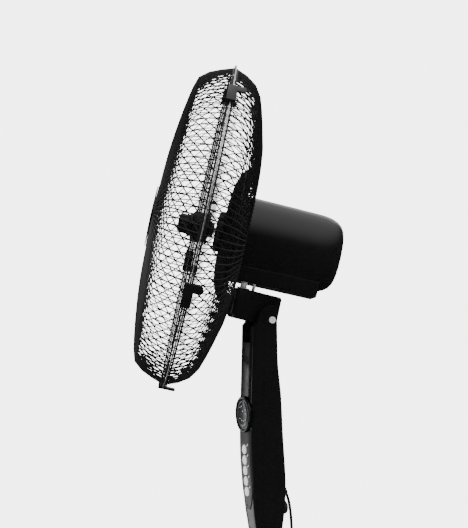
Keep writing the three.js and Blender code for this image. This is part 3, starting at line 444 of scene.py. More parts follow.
# %% Plug and cord
plug_low, plug_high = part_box("plug_body")
plug_middle = (plug_low + plug_high) / 2 / MM
plug_shape = refined("plug_body", 0)
bmesh.ops.subdivide_edges(plug_shape, edges=[e for e in plug_shape.edges if e.calc_length() > 20], cuts=5)
softened(plug_shape, 1.6, angle=50, segments=3)
PINCH = 0.16
GRIP_REACH = 11
for vert in plug_shape.verts:
    away = (vert.co.y - plug_middle.y) / GRIP_REACH
    vert.co.x -= (vert.co.x - plug_middle.x) * PINCH * max(0, 1 - away * away)
plug = finished("plug_grip", plug_shape, STAND, cord_pvc, "stand", "plug_body", slot="black_pvc")
pins = [finished(f"{node}_plated", refined(node, 0.25), STAND, bright_steel, "stand", node, slot="bright_steel")
        for node in ("plug_pin_1", "plug_pin_2")]

cord = finished("mains_cord", tube(cord_line, CORD_DIAMETER / 2, rounding=2), STAND, cord_pvc, None,
                "cord_run", "cord_coil", "cord_tail", slot="black_pvc")
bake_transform(cord)
print("plug", [round(v, 1) for v in plug_middle])

# %% [markdown]
# ## Base
# A shallow moulded cover over a steel pan. Its skirt rolls under, a shallow step runs round
# near the edge, and the crown rises to the pole. Turning a profile gives all of it at once.

# %% Base cover
BASE_PROFILE = [
    (186.4, 4), (188.6, 4), (189.6, 4.6), (190, 6), (190, 9.5), (189.6, 11.6), (188.2, 13.6), (185.6, 15.3),
    (181.6, 16.5), (176.5, 17.6), (175.2, 18.6), (173.6, 19.0), (160, 21.6), (140.6, 25.8), (112, 29.2),
    (85.5, 31.6), (62, 33.6), (44, 35.4), (36, 36), (13.5, 36), (13.5, 33.6), (36, 33.5), (85.5, 28.8),
    (140.6, 23.2), (173, 16.4), (181, 12.6), (186.4, 10.5),
]
finished("base_cover_moulding", turned(BASE_PROFILE, 160, closed=True), STAND, gloss_abs, "stand",
         "base_cover", slot="gloss_black_abs", sharp=40)

# %% Pole socket
socket_low, socket_high = [corner.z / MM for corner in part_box("pole_socket")]
SOCKET_PROFILE = [
    (13.3, socket_low), (29.2, socket_low), (30, socket_low + 0.8), (29.6, socket_low + 2.2),
    (28.2, socket_low + 3.8), (24.6, socket_low + 5.6), (21.8, socket_low + 8), (20.2, socket_low + 11.5),
    (19.2, socket_low + 18), (17.6, socket_low + 36), (16.9, socket_high - 4), (16.4, socket_high - 1.4),
    (15.6, socket_high - 0.4), (14.9, socket_high), (13.3, socket_high),
]
finished("pole_socket_moulding", turned(SOCKET_PROFILE, 96, closed=True), STAND, gloss_abs, "stand",
         "pole_socket", slot="gloss_black_abs")


# %% [markdown]
# ## Pole and height lock
# The outer tube is enamelled and the inner one chromed. The lock nut between them is fluted
# so that a hand can turn it: a turned body whose wall is drawn in between its lobes.

# %% Tubes
def tube_profile(inner, outer, low, high, edge=0.4):
    return [(inner, low), (outer - edge, low), (outer, low + edge), (outer, high - edge),
            (outer - edge, high), (inner, high)]


TUBE_WALL = 1.5
for node, name, body_name, radius, coat, slot in (
        ("outer_pole", "enamelled_pole", "stand", 13, pole_enamel, "black_enamelled_tube"),
        ("inner_pole", "chromed_pole", "column", 10, pole_chrome, "chromed_tube")):
    low, high = [corner.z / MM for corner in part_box(node)]
    pole = turned(tube_profile(radius - TUBE_WALL, radius, low, high), 64, closed=True)
    finished(name, pole, STAND, coat, body_name, node, slot=slot)
    print(name, round(high - low), "mm long")

# %% Lock nut
nut_low, nut_high = [corner.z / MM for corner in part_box("height_lock_nut")]
pole_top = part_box("outer_pole")[1].z / MM
NUT_PROFILE = [
    (13.3, nut_low), (15.2, nut_low), (16.4, nut_low + 0.8), (18.6, nut_low + 4), (19.6, nut_low + 7.5),
    (20, nut_low + 12), (20, nut_high - 11), (19.4, nut_high - 7), (17.6, nut_high - 3.4), (15.8, nut_high - 1),
    (14.6, nut_high), (10.3, nut_high), (10.3, pole_top + 0.3), (13.3, pole_top + 0.3),
]
nut_shape = fluted(turned(NUT_PROFILE, 144, closed=True), lobes=12, depth=0.09, inner=15, power=2, ramp=4)
finished("lock_nut_grip", nut_shape, STAND, satin_abs, "lock_nut", "height_lock_nut",
         slot="satin_black_plastic", sharp=50)

# %% [markdown]
# ## Control column
# Two moulded shells meet at a seam along each side. The front is a flat strip that turns
# tightly into each side, and the column swells towards the middle and narrows at its foot. A
# grid is wrapped round that section, and cutters then take the slot, ears, seam and recesses.

# %% Section and stations of the column
COLUMN_FOOT = -285  # heights are from the pivot bolt
COLUMN_HEAD = 21
FRONT_FACE = [(-285, -20), (-262, -23.5), (-235, -26.5), (-206, -29), (-182, -30.5), (-150, -31),
              (-102, -30.5), (-49, -29), (0, -28), (21, -28)]
REAR_FACE = [(-285, 18.5), (-265, 20.5), (-240, 22), (-215, 22), (-156, 18), (-102, 15), (-60, 10.5),
             (0, 9), (21, 9)]
HALF_WIDTHS = [(-285, 18.5), (-250, 21), (-200, 22), (0, 22), (21, 22)]
HALF_SECTION = [(0, 0.004), (0.4, 0.006), (0.7, 0.014), (0.78, 0.024), (0.84, 0.045), (0.89, 0.075),
                (0.93, 0.12), (0.965, 0.185), (0.985, 0.25), (0.998, 0.33), (1, 0.45), (1, 0.7), (1, 0.84),
                (0.985, 0.91), (0.95, 0.96), (0.88, 0.99), (0.8, 1), (0.4, 1), (0, 1)]
STATIONS = 72


def smooth_at(stations, z):
    """Value at a height, on a smooth curve through (height, value) stations."""
    stations = [(stations[0][0] - 20, stations[0][1]), *stations, (stations[-1][0] + 20, stations[-1][1])]
    for (z0, v0), (z1, v1), (z2, v2), (z3, v3) in zip(stations, stations[1:], stations[2:], stations[3:]):
        if z <= z2 or (z3, v3) == stations[-1]:
            t = max(0, min(1, (z - z1) / (z2 - z1)))
            m1 = (v2 - v0) / (z2 - z0) * (z2 - z1)
            m2 = (v3 - v1) / (z3 - z1) * (z2 - z1)
            a = (2 * t ** 3 - 3 * t ** 2 + 1) * v1 + (t ** 3 - 2 * t ** 2 + t) * m1
            return a + (3 * t ** 2 - 2 * t ** 3) * v2 + (t ** 3 - t ** 2) * m2
    return stations[-1][1]


def column_body(inset, low=COLUMN_FOOT, high=COLUMN_HEAD):
    """The column's outside as a closed skin, moved inwards by inset millimetres."""
    section = [*HALF_SECTION, *[(-x, v) for x, v in reversed(HALF_SECTION[1:-1])]]
    shape = bmesh.new()
    loop = [shape.verts.new((x, v, 0)) for x, v in section]
    rim = [shape.edges.new(pair) for pair in zip(loop, [*loop[1:], loop[0]])]
    cap = bmesh.ops.contextual_create(shape, geom=rim)["faces"]
    bmesh.ops.delete(shape, geom=cap, context="FACES_ONLY")
    for _ in range(STATIONS):
        grown = bmesh.ops.extrude_edge_only(shape, edges=rim)["geom"]
        rim = [item for item in grown if isinstance(item, bmesh.types.BMEdge)]
        bmesh.ops.translate(shape, verts=[i for i in grown if isinstance(i, bmesh.types.BMVert)], vec=(0, 0, 1))
    bmesh.ops.holes_fill(shape, edges=[edge for edge in shape.edges if edge.is_boundary], sides=0)
    for vert in shape.verts:
        z = low + vert.co.z / STATIONS * (high - low)
        front = smooth_at(FRONT_FACE, z) + inset
        rear = smooth_at(REAR_FACE, z) - inset
        vert.co = (vert.co.x * (smooth_at(HALF_WIDTHS, z) - inset), front + vert.co.y * (rear - front), z)
    bmesh.ops.recalc_face_normals(shape, faces=shape.faces)
    return shape


column_skin = column_body(0)
print("column skin", len(column_skin.faces), "faces")


# %% Helpers: blocks, plates and cutting
def block(x, y, z):
    """A box between limits on each axis."""
    shape = bmesh.new()
    bmesh.ops.create_cube(shape, size=1)
    for vert in shape.verts:
        vert.co = [limits[0] if part < 0 else limits[1] for part, limits in zip(vert.co, (x, y, z))]
    return shape


def plate(outline, thickness):
    """A flat outline in X and Y, extruded upwards to a plate."""
    shape = bmesh.new()
    corners = [shape.verts.new((x, y, 0)) for x, y in outline]
    face = shape.faces.new(corners)
    grown = bmesh.ops.extrude_face_region(shape, geom=[face])["geom"]
    top = [item for item in grown if isinstance(item, bmesh.types.BMVert)]
    bmesh.ops.translate(shape, verts=top, vec=(0, 0, thickness))
    bmesh.ops.recalc_face_normals(shape, faces=shape.faces)
    return shape


def arc(centre, radius, start, end, steps=16):
    """Points on an arc, from one angle to another in degrees."""
    turns = [math.radians(start + (end - start) * i / steps) for i in range(steps + 1)]
    return [(centre[0] + radius * math.cos(turn), centre[1] + radius * math.sin(turn)) for turn in turns]


def cut(shape, *cutters, operation="DIFFERENCE"):
    """Boolean of a shape with cutters, all in millimetres. The inputs are used up."""
    def as_object(source):
        mesh = bpy.data.meshes.new("cutting")
        source.to_mesh(mesh)
        source.free()
        made = bpy.data.objects.new("cutting", mesh)
        bpy.context.scene.collection.objects.link(made)
        return made

    work = as_object(shape)
    tools = [as_object(cutter) for cutter in cutters]
    for tool in tools:
        step = work.modifiers.new("cut", "BOOLEAN")
        step.operation = operation
        step.solver = "EXACT"
        step.object = tool
    bpy.context.view_layer.update()
    mesh = bpy.data.meshes.new_from_object(work.evaluated_get(bpy.context.evaluated_depsgraph_get()))
    result = bmesh.new()
    result.from_mesh(mesh)
    bpy.data.meshes.remove(mesh)
    for spent in (work, *tools):
        bpy.data.objects.remove(spent)
    bmesh.ops.remove_doubles(result, verts=result.verts, dist=0.003)
    return result


AS_SIDE = Matrix(((0, 0, 1, 0), (1, 0, 0, 0), (0, 1, 0, 0), (0, 0, 0, 1)))  # plate's X, Y, Z to Y, Z, X
AS_FRONT = Matrix(((1, 0, 0, 0), (0, 0, -1, 0), (0, 1, 0, 0), (0, 0, 0, 1)))  # plate's Y to Z, Z to -Y


def placed(shape, matrix):
    shape.transform(matrix)
    return shape


# %% Cutters of the column
EAR_RADIUS = 20
SLOT_HALF = 13.5
SLOT_FLOOR = -31
SEAM = -12
GAP = 0.3
side_outline = [(-60, -290), (60, -290), (60, -3), (11.5, -3), (9.4, -2), (8.9, 0), (8.9, 12),
                *arc((0, 0), EAR_RADIUS, 63.5, 166, 24), (-21, -2), (-22.6, -5.5), (-26, -8), (-60, -8)]


def ear_and_slot(shape):
    """Rounds the two ears in a side view and opens the slot between them."""
    side = placed(plate(side_outline, 120), Matrix.Translation((-60, 0, 0)) @ AS_SIDE)
    slot_block = block((-SLOT_HALF, SLOT_HALF), (-60, 60), (SLOT_FLOOR, 60))
    bolt_hole = placed(turned([(0, -60), (3.9, -60), (3.9, 60), (0, 60)], 32),
                       Matrix.Rotation(math.radians(90), 4, "Y"))
    return cut(cut(shape, side, operation="INTERSECT"), slot_block, bolt_hole)


PANEL_TOP = -150
PANEL_TIP = -257
PANEL_HALF = 18.5


def panel_outline(grow):
    """The control panel: straight sides that draw in to a blunt tip."""
    half = PANEL_HALF + grow
    right = [(half, PANEL_TOP + grow)]
    for i in range(13):
        t = i / 12
        start, pull = Vector((half, PANEL_TIP + 48)), Vector((half, PANEL_TIP + 16))
        end = Vector((4, PANEL_TIP - grow))
        point = start * (1 - t) ** 2 + pull * 2 * t * (1 - t) + end * t * t
        right.append((point.x, point.y))
    return [*right, *[(-x, z) for x, z in reversed(right)]]


def forward_plate(outline, back, thickness):
    """A plate that faces forwards: its outline is in X and height, its back is at y = back."""
    return placed(plate(outline, thickness), Matrix.Translation((0, back, 0)) @ AS_FRONT)


# %% Front and rear shells
DISPLAY_DROP = 128
SCREW_DROPS = (70, 150)
display_face = smooth_at(FRONT_FACE, -DISPLAY_DROP)
body = ear_and_slot(column_skin)
front_half = block((-60, 60), (-60, SEAM - GAP / 2), (-290, 60))
panel_recess = forward_plate(panel_outline(GAP), -18, 40)
display_hole = placed(turned([(0, 0), (16, 0), (16, 60), (0, 60)], 48),
                      Matrix.Translation((0, -22, -DISPLAY_DROP)) @ ALONG_Y)
front_shell = cut(cut(body.copy(), front_half, operation="INTERSECT"), panel_recess, display_hole)
softened(front_shell, 0.5, angle=38, segments=2)
finished("column_front_shell", front_shell, COLUMN, gloss_abs, "column", "column_front",
         slot="gloss_black_abs", sharp=30)

rear_half = block((-60, 60), (SEAM + GAP / 2, 60), (-290, 60))
screw_bores = [placed(turned([(0, 0), (3.4, 0), (3.4, 40), (0, 40)], 24),
                      Matrix.Translation((0, smooth_at(REAR_FACE, -drop) - 4, -drop)) @ BACK_Y)
               for drop in SCREW_DROPS]
rear_shell = cut(cut(body, rear_half, operation="INTERSECT"), *screw_bores)
softened(rear_shell, 0.5, angle=38, segments=2)
finished("column_rear_shell", rear_shell, COLUMN, gloss_abs, "column", "column_rear",
         slot="gloss_black_abs", sharp=30)

# %% [markdown]
# ### Control panel and display
# The insert follows the column's front and stands a little over half a millimetre proud, so its
# edge catches a thin line of light. The round display is a raised ring round a smoke lens,
# with small round windows for its lights.

# %% Panel insert
FIRST_BUTTON_DROP = 175.5
BUTTON_PITCH = 14.3
BUTTON_DROPS = [FIRST_BUTTON_DROP + BUTTON_PITCH * i for i in range(5)]
BUTTON_RADIUS = 6.4
PANEL_PROUD = 0.6
WALL = 2.4
panel_front = column_body(-PANEL_PROUD, COLUMN_FOOT, -100)
panel_back = column_body(WALL, COLUMN_FOOT, -99)
panel_shape = cut(panel_front, forward_plate(panel_outline(0), -16, 40), operation="INTERSECT")
button_holes = [placed(turned([(0, -20), (BUTTON_RADIUS + GAP, -20), (BUTTON_RADIUS + GAP, 20), (0, 20)], 40),
                       Matrix.Translation((0, -25, -drop)) @ ALONG_Y) for drop in BUTTON_DROPS]
panel_shape = cut(panel_shape, panel_back, *button_holes)
softened(panel_shape, 0.35, angle=40, segments=2)
finished("control_panel", panel_shape, COLUMN, panel_paint, "column", "panel_insert", slot="panel_grey")

# %% Display ring and lens
RING_STAND_OFF = 1.1
DISPLAY = COLUMN @ Matrix.Translation((0, display_face - RING_STAND_OFF, -DISPLAY_DROP)) @ ALONG_Y
RING_PROFILE = [(20.3, 0), (24.5, 0), (24.5, 1.3), (24.3, 1.9), (23.7, 2.4), (22.9, 2.7), (22.0, 2.7),
                (21.2, 2.5), (20.6, 2.1), (20.3, 1.7)]
finished("display_ring", turned(RING_PROFILE, 96, closed=True), DISPLAY, gloss_abs, "column",
         "display_bezel", slot="gloss_black_abs", sharp=40)
LENS_PROFILE = [(0, 0), (20, 0), (20, 1.1), (19.7, 1.4), (19, 1.5), (17.2, 1.55), (16.6, 1.4), (16, 1.58),
                (12, 1.66), (6, 1.72), (0, 1.75)]
finished("display_window", turned(LENS_PROFILE, 96), DISPLAY, display_acrylic, "column",
         "display_lens", slot="display_smoke", sharp=30)

# %% Windows of the display's lights
LIGHT_SPOTS = [(-9, 8.5), (-4.5, 10.5), (0, 4), (9, 7), (9.5, 1.5), (-9, -6.5), (-3, -8.5),
               (3, -8.5), (9, -6.5)]
lights = bmesh.new()
for x, z in LIGHT_SPOTS:
    bmesh.ops.create_cone(lights, cap_ends=True, segments=16, radius1=0.85, radius2=0.7, depth=0.5,
                          matrix=Matrix.Translation((x, z, 1.7)))
finished("display_lights", lights, DISPLAY, lamp_window, "column", slot="display_smoke")

# %% Buttons
BUTTON_PROFILE = [(0, -4.9), (6.4, -4.9), (6.4, 0.7), (6.25, 1.1), (5.8, 1.4), (5.1, 1.55), (4.2, 1.42),
                  (2, 1.2), (0, 1.12)]
for i, drop in enumerate(BUTTON_DROPS, 1):
    seat = COLUMN @ Matrix.Translation((0, smooth_at(FRONT_FACE, -drop), -drop)) @ ALONG_Y
    finished(f"button_cap_{i}", turned(BUTTON_PROFILE, 48), seat, button_lacquer, f"button_{i}",
             f"button_{i}", slot="silver_plastic")

# %% White strokes beside the buttons
# A thin white bar, leaning, sits on the panel's face up and to one side of each button.
STROKE_SIZE = (5.2, 0.3, 1.1)
STROKE_ASIDE = 10.6
STROKE_RISE = 7
lean = Matrix.Rotation(math.radians(-38), 4, "Y")
strokes = bmesh.new()
for drop in BUTTON_DROPS:
    height = -drop + STROKE_RISE
    face = smooth_at(FRONT_FACE, height) - PANEL_PROUD
    bmesh.ops.create_cube(strokes, size=1, matrix=Matrix.Translation((STROKE_ASIDE, face, height)) @ lean
                          @ Matrix.Diagonal((*STROKE_SIZE, 1)))
finished("button_strokes", strokes, COLUMN, stroke_white, "column", slot="silver_plastic")

# %% [markdown]
# ### Fittings on the back of the column
# A knob clamps the column to its tube, two screws hold the shells, and a tapered gland lets
# the cord out. The gland is soft and ribbed so that the cord bends along its length.

# %% Clamp knob
knob_back = (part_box("clamp_knob")[1] - bolt_place).y / MM
KNOB_DROP = 258
KNOB_DEPTH = 9
knob_profile = [(0, -9.8), (3, -9.8), (3, 0), (7.4, 0), (8.6, 0.6), (9, 1.6), (9, 6.6), (8.6, 7.8),
                (7.6, 8.7), (6.4, KNOB_DEPTH), (0, 8.6)]
knob_shape = fluted(turned(knob_profile, 96), lobes=16, depth=0.05, inner=6.6)
finished("clamp_knob_grip", knob_shape,
         COLUMN @ Matrix.Translation((0, knob_back - KNOB_DEPTH, -KNOB_DROP)) @ BACK_Y,
         satin_abs, "clamp_knob", "clamp_knob", slot="satin_black_plastic", sharp=45)

# %% Shell screws
for i in (1, 2):
    low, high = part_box(f"shell_screw_{i}")
    middle = (low + high) / 2 / MM
    screw = turned([(0, -9), (2.5, -9), (2.5, 0), (2.3, 0.35), (1.6, 0.6), (0, 0.7)], 32)
    screw = cut(screw, block((-2, 2), (-0.35, 0.35), (0.05, 2)), block((-0.35, 0.35), (-2, 2), (0.05, 2)))
    finished(f"shell_screw_head_{i}", screw, STAND @ Matrix.Translation((middle.x, high.y / MM - 0.8, middle.z))
             @ BACK_Y, bright_steel, "column", f"shell_screw_{i}", slot="bright_steel")

# %% Cord gland
gland_start = bolt_place / MM + Vector((0, 17.5, -218))
gland_end = bolt_place / MM + Vector((0, 31.2, -239))
gland_run = gland_end - gland_start
gland_profile = [(0, 0), (5, 0), (5, 6)]
RIBS = 5
for i in range(RIBS):
    low = 7.5 + i * 3.3
    radius = 4.9 - 0.34 * i
    gland_profile += [(radius - 0.7, low), (radius, low + 0.5), (radius, low + 1.7), (radius - 0.7, low + 2.2)]
gland_profile += [(3.0, gland_run.length - 0.6), (2.7, gland_run.length), (0, gland_run.length)]
gland_turn = gland_run.to_track_quat("Z", "Y").to_matrix().to_4x4()
finished("cord_gland_sleeve", turned(gland_profile, 40), STAND @ Matrix.Translation(gland_start) @ gland_turn,
         foot_rubber, "column", "cord_gland", slot="black_rubber", sharp=40)

# %% [markdown]
# ## Tilt box and pivot
# The box nods between the column's ears on a bolt. These pieces have the right shape in the
# solid model, so copies of them are merged, bevelled and shaded.

# %% Tilt box, bolt, nut, swivel post and link pin
for node, name, coat, slot, width in (
        ("tilt_box", "tilt_box_moulding", gloss_abs, "gloss_black_abs", 1.0),
        ("swivel_post", "swivel_post_turned", bright_steel, "bright_steel", 0.3),
        ("link_pin", "link_pin_turned", bright_steel, "bright_steel", 0.2),
        ("pivot_nut", "pivot_nut_plated", bright_steel, "bright_steel", 0.4)):
    body_name = frame["nodes"][node]["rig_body"]
    finished(name, refined(node, width, 3), STAND, coat, body_name, node, slot=slot)

# %% Pivot bolt head
bolt_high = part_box("pivot_bolt")[1]
bolt_profile = [(0, -50), (3.6, -50), (3.6, 0), (4.6, 0), (4.6, 1.3), (4.45, 1.75), (4.1, 2.1), (3.6, 2.2),
                (2.15, 2.2), (1.95, 2.0), (1.75, 0.9), (0, 0.7)]
finished("pivot_bolt_turned", turned(bolt_profile, 64),
         STAND @ Matrix.Translation((bolt_high.x / MM - 2.2, 0, bolt_place.z / MM))
         @ Matrix.Rotation(math.radians(90), 4, "Y"), bright_steel,
         frame["nodes"]["pivot_bolt"]["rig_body"], "pivot_bolt", slot="bright_steel")

# %% [markdown]
# ## Motor
# A turned can with a softly rounded back, a tray below it that holds the oscillation gear, and
# a front cover. The can's back has a ring of slots that let the warm air out.

# %% Motor housing
MOTOR_RADIUS = 55
MOTOR_REAR = 52
MOTOR_BACK = 194
COVER_BACK = 44.5
HOUSING_PROFILE = [
    (MOTOR_RADIUS - 0.5, 44.8), (MOTOR_RADIUS, 45.3), (MOTOR_RADIUS - 0.2, 60), (MOTOR_RADIUS - 1.2, 120),
    (MOTOR_REAR + 0.8, 158), (MOTOR_REAR + 0.2, 166), (MOTOR_REAR - 1.4, 174.5), (MOTOR_REAR - 4.2, 181.6),
    (MOTOR_REAR - 8.4, 187.4), (MOTOR_REAR - 14, 191.2), (MOTOR_REAR - 20, 193), (20, 193.8), (0, MOTOR_BACK),
    (0, 191.6), (20, 191.3), (MOTOR_REAR - 20.5, 190.5), (MOTOR_REAR - 15, 188.9), (MOTOR_REAR - 10, 185.6),
    (MOTOR_REAR - 6.4, 180.4), (MOTOR_REAR - 3.8, 174), (MOTOR_REAR - 2.3, 166), (MOTOR_REAR - 1.6, 158),
    (MOTOR_RADIUS - 3.6, 120), (MOTOR_RADIUS - 2.4, 60), (MOTOR_RADIUS - 2.4, 44.8),
]
TRAY_SEAM = -40
housing = placed(turned(HOUSING_PROFILE, 144, closed=True), BACK_Y)
VENTS = 14
vents = []
for i in range(VENTS):
    vent = block((-1.3, 1.3), (180, 205), (18, 33))
    vents.append(placed(vent, Matrix.Rotation(TAU * i / VENTS, 4, "Y")))
below = block((-80, 80), (20, 172.3), (-80, TRAY_SEAM + GAP))
housing = cut(housing, below, *vents)
softened(housing, 0.45, angle=50, segments=2)
finished("motor_can", housing, HEAD, gloss_abs, "head", "motor_housing", slot="gloss_black_abs", sharp=28)

# %% Motor front cover, tray and shaft
COVER_PROFILE = [(4.3, 22.5), (11.2, 22.5), (12, 23.3), (12, 38.5), (51, 38.5), (53.6, 39.2), (54.8, 40.6),
                 (55, 42), (55, 44.0), (54.5, COVER_BACK), (4.3, COVER_BACK)]
finished("motor_cover_moulding", placed(turned(COVER_PROFILE, 128, closed=True), BACK_Y), HEAD, gloss_abs,
         "head", "motor_front_cover", slot="gloss_black_abs")
finished("motor_tray_moulding", refined("motor_tray", 1.2, 3, angle=30), STAND, gloss_abs, "head",
         "motor_tray", slot="gloss_black_abs")

# %% [markdown]
# ## Guards
# Both guards are baskets of thin steel wire. Every wire runs from the rim to the middle on a
# slanting line, so near and far wires cross as a lattice. One wire is drawn and then spun with
# duplicates. A wire has four sides only, which smooth shading makes round.

# %% Guard profiles
RIM_RADIUS = 216.3
FRONT_PROFILE = [(216.3, -2.8), (210.3, -20), (203.3, -35), (194.3, -45), (172.9, -50.5), (136, -56.5),
                 (89.4, -61.5), (39, -63.6)]
REAR_PROFILE = [(216.3, 2.8), (211.3, 16), (204.3, 28), (192.3, 38), (163.5, 48), (134.6, 55.5), (115, 60),
                (101, 58), (88, 46), (69, 37.5), (37, 35)]
WIRE_RADIUS = 0.85
RIB_COUNT = 132
RIB_TWIST = 5
CROSSING_COUNT = 84
FRONT_TWIST = 60
REAR_TWIST = -46
CROSSING_INSET = 1.7
WIRE_STEPS = 13


def evenly(points, count):
    """The same line in a count of equal steps."""
    total = length_of(points)
    wanted = [total * i / count for i in range(count)]
    result, run = [], 0.0
    for a, b in zip(points, points[1:]):
        step = (b - a).length
        while wanted and wanted[0] <= run + step:
            result.append(a.lerp(b, (wanted.pop(0) - run) / step if step else 0))
        run += step
    return [*result, points[-1]]


def basket(profile, twist, wires, inset=0):
    """One layer of a guard: a wire that turns by twist degrees on its way in, spun with duplicates."""
    side = 1 if profile[-1][1] < 0 else -1
    drawn = [(radius - 0.5 * inset, depth + side * inset, 0) for radius, depth in profile]
    meridian = evenly(through(drawn, 8), WIRE_STEPS)
    total = length_of(meridian)
    run, line, last = 0.0, [], meridian[0]
    for point in meridian:
        run += (point - last).length
        last = point
        turn = math.radians(twist) * run / total
        line.append(Vector((point.x * math.cos(turn), point.y, point.x * math.sin(turn))))
    shape = tube(line, WIRE_RADIUS, rounding=0)
    bmesh.ops.spin(shape, geom=shape.verts[:] + shape.edges[:] + shape.faces[:], axis=(0, 1, 0),
                   angle=TAU * (wires - 1) / wires, steps=wires - 1, use_duplicate=True)
    return shape


def hoop(radius, depth, thickness, steps=144):
    """A ring of wire round the head's axis."""
    section = [(radius + x, depth + y) for x, y in arc((0, 0), thickness, 0, 300, 5)]
    return placed(turned(section, steps, closed=True), BACK_Y)


def joined(*shapes):
    """Several shapes in one bmesh."""
    whole = bmesh.new()
    for shape in shapes:
        mesh = bpy.data.meshes.new("joining")
        shape.to_mesh(mesh)
        shape.free()
        whole.from_mesh(mesh)
        bpy.data.meshes.remove(mesh)
    return whole


# %% Front guard
front_hoops = [hoop(RIM_RADIUS, -2.6, 1.3), hoop(136, -55.3, 1.0), hoop(89.4, -60.2, 1.0)]
front_hub = placed(turned([(0, -65.5), (41, -64.9), (42, -64.2), (42, -62), (41.4, -61.5), (0, -61.5)], 96),
                   BACK_Y)
front_guard = joined(basket(FRONT_PROFILE, RIB_TWIST, RIB_COUNT),
                     basket(FRONT_PROFILE, FRONT_TWIST, CROSSING_COUNT, CROSSING_INSET), *front_hoops,
                     front_hub)
finished("front_guard_wires", front_guard, HEAD, wire_coating, "head", "front_guard",
         slot="black_coated_wire", sharp=60)

# %% Rear guard
rear_hoops = [hoop(RIM_RADIUS, 2.6, 1.3), hoop(163.5, 46.8, 1.0), hoop(115, 58.8, 1.0), hoop(88, 44.8, 1.0)]
rear_plate = placed(turned([(12.4, 33.5), (39.4, 33.5), (40, 34.1), (40, 36), (39.4, 36.5), (12.4, 36.5)], 96,
                           closed=True), BACK_Y)
rear_guard = joined(basket(REAR_PROFILE, -RIB_TWIST, RIB_COUNT),
                    basket(REAR_PROFILE, REAR_TWIST, CROSSING_COUNT, CROSSING_INSET), *rear_hoops,
                    rear_plate)
finished("rear_guard_wires", rear_guard, HEAD, wire_coating, "head", "rear_guard",
         slot="black_coated_wire", sharp=60)

# %% [markdown]
# ### Guard ring, badge and clips
# A bright rolled band clamps both guards at the rim, and five clips snap over it. The badge
# is a plain domed disc with a shallow dish in its middle.

# %% Guard ring
ring_profile = [(213.5, -0.7), (213.9, -1), (221.1, -1), (221.5, -0.6), (221.5, 0.6), (221.1, 1), (213.9, 1),
                (213.5, 0.7)]
finished("guard_band", placed(turned(ring_profile, 192, closed=True), BACK_Y), HEAD, band_silver, "head",
         "guard_ring", slot="silver_band", sharp=50)

# %% Badge
badge_profile = [(0, -65.8), (41.4, -65.8), (41.8, -66.1), (41.4, -66.5), (39, -66.8), (30, -67.1),
                 (28.5, -66.8), (27, -67.2), (12, -67.6), (0, -67.7)]
finished("badge_disc", placed(turned(badge_profile, 128), BACK_Y), HEAD, gloss_abs, "head", "guard_badge",
         slot="gloss_black_abs")

# %% Clips
for i in range(1, 6):
    node = f"clip_{i}"
    finished(f"latch_{i}", refined(node, 0.5, 2, angle=40), STAND, gloss_abs, frame["nodes"][node]["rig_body"],
             node, slot="satin_black_plastic")

# %% [markdown]
# ## Blade
# Five broad wings on a hub. Each wing leans forwards across its chord, is cupped a little and
# sweeps round as it goes out. One wing is a grid bent to that shape and given its thickness,
# and it is then spun with duplicates.

# %% Wings
HUB_RADIUS = 20
BLADE_RADIUS = 188
BLADE_COUNT = 5
WING_THICKNESS = 2.0


def wing_place(u, v):
    """Where a point lies that is u of the way out and v of the chord, from -0.5 to 0.5."""
    edge = abs(2 * v)
    corner = 1 - 0.05 * max(0, (edge - 0.6) / 0.4) ** 2 * u * u
    radius = (HUB_RADIUS - 4 + (BLADE_RADIUS - HUB_RADIUS + 4) * u - 26 * v * v * u * u) * corner
    spread = math.radians(34 + 22 * math.sin(math.pi * min(u * 1.15, 1) * 0.75))
    round_off = 1 - 0.16 * max(0, (u - 0.86) / 0.14) ** 2
    turn = math.radians(18) * u + v * spread * round_off
    depth = 3 - v * (26 - 4 * u) - 5 * (0.25 - v * v) * u
    return Vector((radius * math.cos(turn), depth, radius * math.sin(turn)))


wings = bmesh.new()
bmesh.ops.create_grid(wings, x_segments=28, y_segments=20, size=0.5)
for vert in wings.verts:
    vert.co = wing_place(vert.co.x + 0.5, vert.co.y)
bmesh.ops.solidify(wings, geom=wings.faces[:], thickness=WING_THICKNESS)
bmesh.ops.translate(wings, verts=wings.verts, vec=(0, WING_THICKNESS / 2, 0))
softened(wings, 0.45, angle=50, segments=2)
bmesh.ops.spin(wings, geom=wings.verts[:] + wings.edges[:] + wings.faces[:], axis=(0, 1, 0),
               angle=TAU * (BLADE_COUNT - 1) / BLADE_COUNT, steps=BLADE_COUNT - 1, use_duplicate=True)
finished("blade_wings", wings, HEAD, smoked_styrene, "rotor", "blade", slot="smoked_styrene", sharp=45)

# %% Hub and spinner nut
hub_profile = [(4.3, -10), (16.6, -10), (18.6, -9.2), (19.7, -8), (20, -6.6), (20, 11.6), (19.4, 12.4),
               (12.4, 14), (10.4, 15), (10, 16), (10, 19.4), (9.4, 20), (4.3, 20)]
finished("blade_hub", placed(turned(hub_profile, 96, closed=True), BACK_Y), HEAD, satin_abs, "rotor",
         slot="smoked_styrene")
spinner_profile = [(4.3, -10.3), (15.4, -10.3), (16, -10.9), (16, -13), (15.2, -14.2), (13.7, -15.2),
                   (13.4, -16.6), (13, -24.8), (12.3, -27), (10.4, -28.7), (8, -29.2), (0, -29.3),
                   (0, -24.4), (4.3, -24.4)]
spinner = fluted(turned(spinner_profile, 120, closed=True), lobes=10, depth=0.1, inner=12, outer=14.2)
finished("spinner_cap", placed(spinner, BACK_Y), HEAD, satin_abs, "rotor", "spinner_nut",
         slot="satin_black_plastic", sharp=45)

